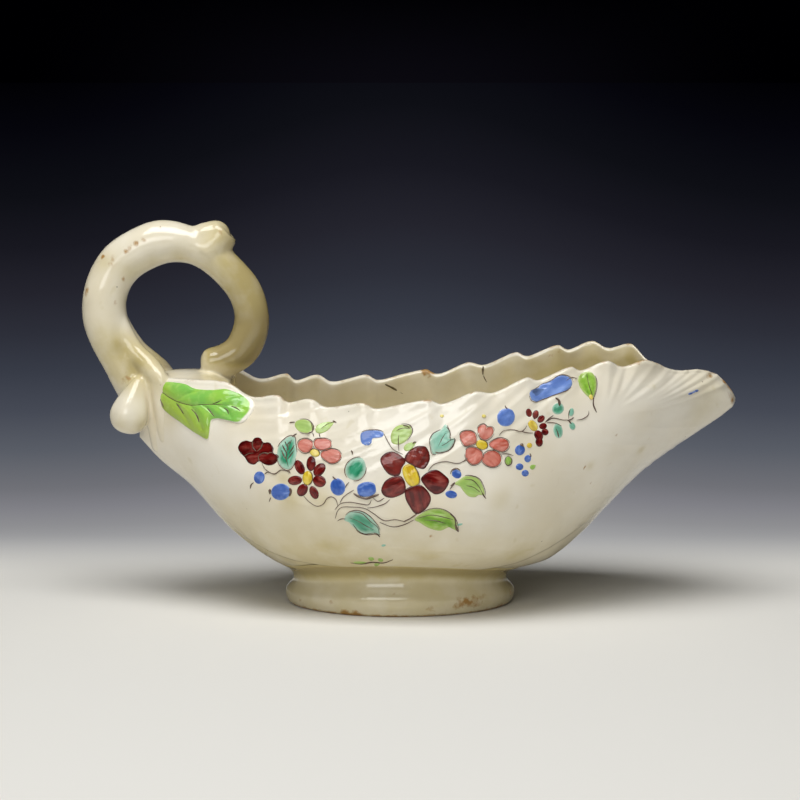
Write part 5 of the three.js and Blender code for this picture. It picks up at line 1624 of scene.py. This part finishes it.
OVER_ENAMEL, ON_SPRIG, IN_CRACK = 0.1, 0.0, -0.12  # how high a stroke's middle lies
spray_strokes = STEMS + LEAF_VEINS + BUD_FOLDS + SHADED_RIMS + arcs_of(OUTLINED)
over_blots = stroke_rows(bowl_surface, spray_strokes, OVER_ENAMEL)
over_sprigs = stroke_rows(surface_of(bowl, sprigs[0]), SPRIG_STROKES, ON_SPRIG)
in_cracks = stroke_rows(bowl_surface, CRACKS, IN_CRACK)
print("strokes:", len(over_blots + over_sprigs), "on the right side")

# %% The tree that lays the strokes
laying = new_tree("lay the strokes", [("Sides", "Int", 8), ("Enamel", "Material", None)])
given = add(laying, "NodeGroupInput").outputs
lines = add(laying, "GeometryNodeMeshToCurve", {"Mesh": given["Geometry"]})
half_width = add(laying, "GeometryNodeInputNamedAttribute", {"Name": "half_width"}, data_type="FLOAT")
cord = add(laying, "GeometryNodeCurvePrimitiveCircle", {"Resolution": given["Sides"], "Radius": 1.0})
cords = add(laying, "GeometryNodeCurveToMesh", {
    "Curve": lines, "Profile Curve": cord, "Scale": half_width, "Fill Caps": True})
end_tree(laying, cords, given["Enamel"])


def lay_strokes(name, material, rows, mirrored=True):
    points, edges, widths = [], [], []
    for row, half_widths, furthest in rows:
        for side in (1, -1) if mirrored and furthest < LAST_MIRRORED else (1,):
            first = len(points)
            points += (row * (1, side, 1)).tolist()
            edges += [(first + i, first + i + 1) for i in range(len(row) - 1)]
            widths += (half_widths / 1000).tolist()
    mesh = bpy.data.meshes.new(name)
    mesh.from_pydata(to_frame(points).tolist(), edges, [])
    piece = put_in_scene(name, mesh)
    set_attribute(piece, "half_width", widths)
    run_tree(piece, laying, sides=8, enamel=material)
    piece.data.shade_smooth()
    facing_out(piece)
    return piece


print("tree:", len(laying.nodes), "nodes")

# %% [markdown]
# ## Brown enamel and dirt
#
# The strokes are an iron and manganese brown, laid so thin that it breaks up into paler patches. The
# cracks hold old dirt, which is not glass and is dull. One recipe does for both.

# %% Lay the strokes
BROWN, OLD_DIRT, BROKEN = "#5C483C", "#5A4B1E", "#8A7460"


def thin_line_colour(name, tone, roughness):
    """A thin dark line's material, broken by paler patches."""
    material, tree = new_material(name)
    place = add(tree, "TexCoord").outputs["Object"]
    patches = add(tree, "TexNoise", {"Vector": place, "Scale": 1000 / 1.5, "Detail": 3.0})
    patches = add(tree, "MapRange", {0: patches, 1: 0.45, 2: 0.7, 4: 0.5}, **EASED)
    broken = add(tree, "Mix", {0: patches, 6: tone, 7: BROKEN}, **TINT)
    line = add(tree, "BsdfPrincipled", {"Base Color": broken, "Roughness": roughness, "IOR": 1.5})
    add(tree, "OutputMaterial", {"Surface": line})
    return material


brown_enamel = thin_line_colour("dark_brown_enamel", BROWN, 0.2)
dirt = thin_line_colour("dirt_in_a_crack", OLD_DIRT, 0.5)
strokes = lay_strokes("brush_strokes", brown_enamel, over_blots + over_sprigs)
cracks = lay_strokes("stained_cracks", dirt, in_cracks, mirrored=False)
print("strokes:", len(strokes.data.polygons), "faces, cracks:", len(cracks.data.polygons))

# %% [markdown]
# ## Stains and worn spots
#
# Two centuries of use left their marks: the glaze is rubbed through on crests of the rim and on the cut
# end of the side shoot, specks of brown sit in its pits, and straw-coloured stains lie under it. They are
# added to the values for wear and for pools, stains and shade where the picture shows them; two broad
# patches on the spout's lip are painted shade. A spot has its place in the picture, its radius in
# millimetres and its strength.

# %% Spots on the bowl


def add_spots(piece, surface, attribute_name, spots):
    attribute = piece.data.attributes[attribute_name]
    values = np.empty(len(piece.data.vertices), np.float32)
    attribute.data.foreach_get("value", values)
    points = points_of(piece)
    centres, _ = seen_at(surface, [spot[:2] for spot in spots])
    for centre, (_, _, radius, amount) in zip(centres, spots):
        values += amount * np.exp(-(np.linalg.norm(points - centre, axis=1) / radius) ** 2)
    set_attribute(piece, attribute_name, np.clip(values, 0, 1.3))


WORN_SPOTS = [
    (426, 373, 1.2, 0.9), (431, 373.4, 0.8, 0.6), (375, 373.4, 1.0, 0.4), (384, 378, 0.7, 0.7),
    (558, 350, 1.1, 0.45), (550, 356, 0.9, 0.4), (628, 342.5, 1.6, 0.55), (656.6, 363.4, 0.8, 0.5),
    (709, 375.6, 1.3, 0.75), (724, 382, 0.9, 0.5), (731, 396, 1.8, 0.35), (733, 401, 1.6, 0.35),
    (585, 467, 0.45, 0.9), (590, 484, 0.45, 0.9), (431, 536, 0.4, 0.9), (532, 472, 0.4, 0.7),
    (552, 470, 0.4, 0.6), (610, 464, 0.35, 0.6), (617, 435, 0.4, 0.5)]
STAINS = [
    (283, 478, 2.2, 0.5), (290, 500, 3.4, 0.55), (320, 500, 3.2, 0.4), (346, 470, 2.0, 0.3),
    (515, 555, 4.0, 0.4), (500, 500, 3.4, 0.3), (285, 378, 3.4, 0.3), (313, 377, 3.4, 0.3),
    (345, 381, 3.4, 0.3), (375, 376, 3.4, 0.3), (402, 378, 3.4, 0.35), (430, 373, 3.4, 0.35),
    (456, 370, 3.4, 0.4), (480, 365, 3.4, 0.4), (503, 364, 3.4, 0.4), (530, 361, 3.4, 0.4),
    (560, 351, 3.4, 0.35), (588, 344, 3.4, 0.35), (612, 348, 3.4, 0.35), (632, 346, 3.4, 0.35),
    # the two broad patches at (714, 388) and (700, 412) are painted shade on the spout's lip
    (714, 388, 6.0, 0.3), (641, 450, 1.4, 0.5), (590, 466, 1.2, 0.5), (700, 412, 5.0, 0.25),
    (250, 420, 3.0, 0.15), (172, 420, 3.6, 0.35), (150, 415, 2.5, 0.3), (430, 555, 4.0, 0.3),
    (330, 545, 4.0, 0.3)]
add_spots(bowl, bowl_surface, "wear", WORN_SPOTS)
add_spots(bowl, bowl_surface, "pool", STAINS)
print("spots on the bowl:", len(WORN_SPOTS + STAINS))

# %% Spots on the handle and the foot
HANDLE_SPOTS = [
    (228, 234, 2.0, 0.32), (103, 256.5, 0.7, 0.9), (98, 262, 1.0, 0.5), (125, 252, 1.0, 0.5),
    (130, 248.6, 1.0, 0.6), (137, 243, 1.0, 0.6), (143, 240, 0.8, 0.5), (111, 261, 1.4, 0.4),
    (87, 286, 1.2, 0.5), (87, 293, 1.2, 0.5), (86, 303, 1.0, 0.35), (127, 379, 1.6, 0.5), (123, 279, 0.8, 0.5),
    (115, 301, 0.9, 0.4), (214, 219, 0.8, 0.5), (251, 304, 0.4, 0.6), (160, 227, 0.8, 0.3),
    (141, 375, 0.9, 0.4)]
HANDLE_STAINS = [
    (104, 262, 3.0, 0.35), (130, 270, 3.4, 0.4), (126, 300, 2.6, 0.4), (100, 330, 3.2, 0.3),
    (118, 345, 3.4, 0.35), (180, 256, 3.0, 0.35), (150, 262, 3.0, 0.3), (135, 365, 3.0, 0.3),
    (120, 425, 2.4, 0.35), (140, 425, 2.6, 0.4)]
FOOT_SPOTS = [
    (457, 605, 1.5, 0.6), (465, 601, 1.6, 0.6), (474, 602, 2.0, 0.65), (482, 598, 1.3, 0.6),
    (345, 612, 1.4, 0.6), (356, 613, 1.4, 0.55), (511, 593, 1.2, 0.55), (331, 603, 0.9, 0.55),
    (300, 600, 1.4, 0.35), (395, 592, 1.2, 0.35), (430, 609, 1.6, 0.35), (500, 606, 1.4, 0.4)]
set_attribute(handle, "wear", np.zeros(len(handle.data.vertices)))
add_spots(handle, surface_of(handle), "wear", HANDLE_SPOTS)
add_spots(handle, surface_of(handle), "pool", HANDLE_STAINS)
add_spots(foot, surface_of(foot), "wear", FOOT_SPOTS)
print("spots on handle and foot:", len(HANDLE_SPOTS + HANDLE_STAINS + FOOT_SPOTS))

# %% [markdown]
# ## The studio
#
# The boat stands on a plain pale floor that runs back into the dark. A broad soft box hangs above and in
# front of it, so its shadow falls just behind the foot, and a weaker one at the front left lights the
# belly and shows as a soft patch in its glaze. Close to the boat the floor is truly lit. Further back
# its tone is painted light, a glow written for the camera and for reflections alone, because no lamp
# reaches there: it fades into the dark and is lighter in the middle, as a pool of light would be. A level
# floor shrinks towards the horizon as one over the distance, so the tones are laid out that way.

# %% Floor
STAND_OFF = CAMERA_DISTANCE / 1000
HORIZON_REACH, NEAR_REACH = 600.0, -6.0  # metres, far enough that no edge shows
FLOOR = "#E2E0DA"  # matt painted board, which gives a soft shadow and no reflection
TONES = [(0.0, "#010103"), (0.095, "#05050B"), (0.225, "#0E0F15"), (0.32, "#181820"), (0.41, "#24242D"),
         (0.486, "#2D2F39"), (0.56, "#383C47"), (0.635, "#464A55"), (0.71, "#595D66"), (0.784, "#707177"),
         (0.821, "#808086"), (0.858, "#8F8F92"), (0.896, "#A4A4A5"), (0.93, "#B0B0AF"), (0.97, "#BCBCBA")]

board, tree = new_material("pale_studio_floor")
axes = add(tree, "SeparateXYZ", {0: add(tree, "TexCoord").outputs["Object"]}).outputs
distance = add(tree, "Math", {0: axes["Y"], 1: STAND_OFF}, **PLUS)
shrunk = add(tree, "Math", {0: STAND_OFF, 1: distance}, **OVER)
aside = add(tree, "Math", {0: add(tree, "Math", {0: axes["X"]}, **SIZE), 1: distance}, **OVER)
# a painted pool of light: the far floor's written tone is lighter in the middle
aside = add(tree, "MapRange", {0: aside, 1: 0.15, 2: 0.0, 4: 0.19}, **EASED)  # the middle is lighter
beyond = add(tree, "Math", {0: 1.0, 1: shrunk}, **MINUS)
tones = add(tree, "ValToRGB", {0: add(tree, "Math", {0: beyond, 1: aside, 2: shrunk}, **TIMES_PLUS)})
for number, (at, tone) in enumerate(TONES):
    stop = tones.color_ramp.elements[number] if number < 2 else tones.color_ramp.elements.new(at)
    stop.position = at
    stop.color = colour(tone)
lit = add(tree, "BsdfDiffuse", {"Color": FLOOR})
# the far floor glows with written tones: painted light and shade where no lamp reaches
painted_floor_light = add(tree, "Emission", {"Color": tones, "Strength": 1.0})
far = add(tree, "MapRange", {0: axes["Y"], 1: 0.035, 2: 0.115}, **EASED)
ray = add(tree, "LightPath").outputs
shown = add(tree, "Math", {0: ray["Is Camera Ray"], 1: ray["Is Glossy Ray"]}, operation="MAXIMUM")
shown = add(tree, "Math", {0: far, 1: shown}, **TIMES)
add(tree, "OutputMaterial", {"Surface": add(tree, "MixShader", {0: shown, 1: lit, 2: painted_floor_light})})
floor_mesh = bpy.data.meshes.new("floor")
floor_mesh.from_pydata([(x, y, 0) for x, y in (
    (-HORIZON_REACH, NEAR_REACH), (HORIZON_REACH, NEAR_REACH), (HORIZON_REACH, HORIZON_REACH),
    (-HORIZON_REACH, HORIZON_REACH))], [], [(0, 1, 2, 3)])
floor_mesh.materials.append(board)
floor = put_in_scene("floor", floor_mesh)
print("floor:", len(TONES), "tones")

# %% The dark beyond the floor
FILL = 0.02  # a trace of light from all round, which keeps the shadows from going black
world = bpy.data.worlds.new("studio")
bpy.context.scene.world = world
world.use_nodes = True
tree = world.node_tree
tree.nodes.clear()
way = add(tree, "SeparateXYZ", {0: add(tree, "TexCoord").outputs["Generated"]}).outputs
ahead = add(tree, "Math", {0: add(tree, "Math", {0: way["Y"]}, **SIZE), 1: 0.01}, operation="MAXIMUM")
aside = add(tree, "Math", {0: add(tree, "Math", {0: way["X"]}, **SIZE), 1: ahead}, **OVER)
aside = add(tree, "MapRange", {0: aside, 1: 0.15, 2: 0.0}, **EASED)
low = add(tree, "MapRange", {0: way["Z"], 1: 0.045, 2: -0.01}, **EASED)
# a faint painted glow low in the middle of the dark beyond the floor
glow = add(tree, "Mix", {0: add(tree, "Math", {0: aside, 1: low}, **TIMES), 6: "#000001", 7: "#0B0A10"}, **TINT)
ray = add(tree, "LightPath").outputs
shown = add(tree, "Math", {0: ray["Is Camera Ray"], 1: ray["Is Glossy Ray"]}, operation="MAXIMUM")
fill = add(tree, "Background", {"Color": "#DCE0E8", "Strength": FILL})
dark = add(tree, "Background", {"Color": glow, "Strength": 1.0})
add(tree, "OutputWorld", {"Surface": add(tree, "MixShader", {0: shown, 1: fill, 2: dark})})
print("world:", len(tree.nodes), "nodes")

# %% Lamps


def soft_box(name, place, aim, width, height, power):
    lamp = bpy.data.lights.new(name, "AREA")
    lamp.shape = "RECTANGLE"
    lamp.size, lamp.size_y = width, height
    lamp.energy = power
    box = put_in_scene(name, lamp)
    box.location = place
    box.rotation_euler = (Vector(aim) - Vector(place)).to_track_quat("-Z", "Y").to_euler()


soft_box("top_box", (-0.07, -0.3, 0.85), (0, 0, 0.03), 0.7, 0.5, 7.4)
soft_box("front_box", (-0.26, -1.0, 0.47), (0, 0, 0.06), 0.7, 0.44, 3.3)
bpy.context.scene.view_settings.view_transform = "Standard"
print("lamps:", [lamp.name for lamp in bpy.data.lights])

# %% [markdown]
# ## What stands for what
#
# Each piece rides on the boat's one body, and the solids that it stands for are hidden.

# %% Ride, and hide the solids that are stood for
dressed = [
    (bowl, ["shell_right", "shell_left"], "cream_glaze"),
    (foot, ["foot_ring"], "cream_glaze"),
    (handle, ["handle_stalk", "handle_knop", "side_twig_right", "side_twig_left", "bud_right", "bud_left",
              "rim_bridge"], "cream_glaze"),
    (sprigs[0], ["leaf_sprig_right"], "enamel"),
    (sprigs[1], ["leaf_sprig_left"], "enamel"),
]
dressed += [(piece, [], "enamel") for piece in (*painted, strokes)] + [(cracks, [], "cream_glaze")]
for piece, nodes, finish_name in dressed:
    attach(piece, "root")
    if nodes:
        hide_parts(*nodes)
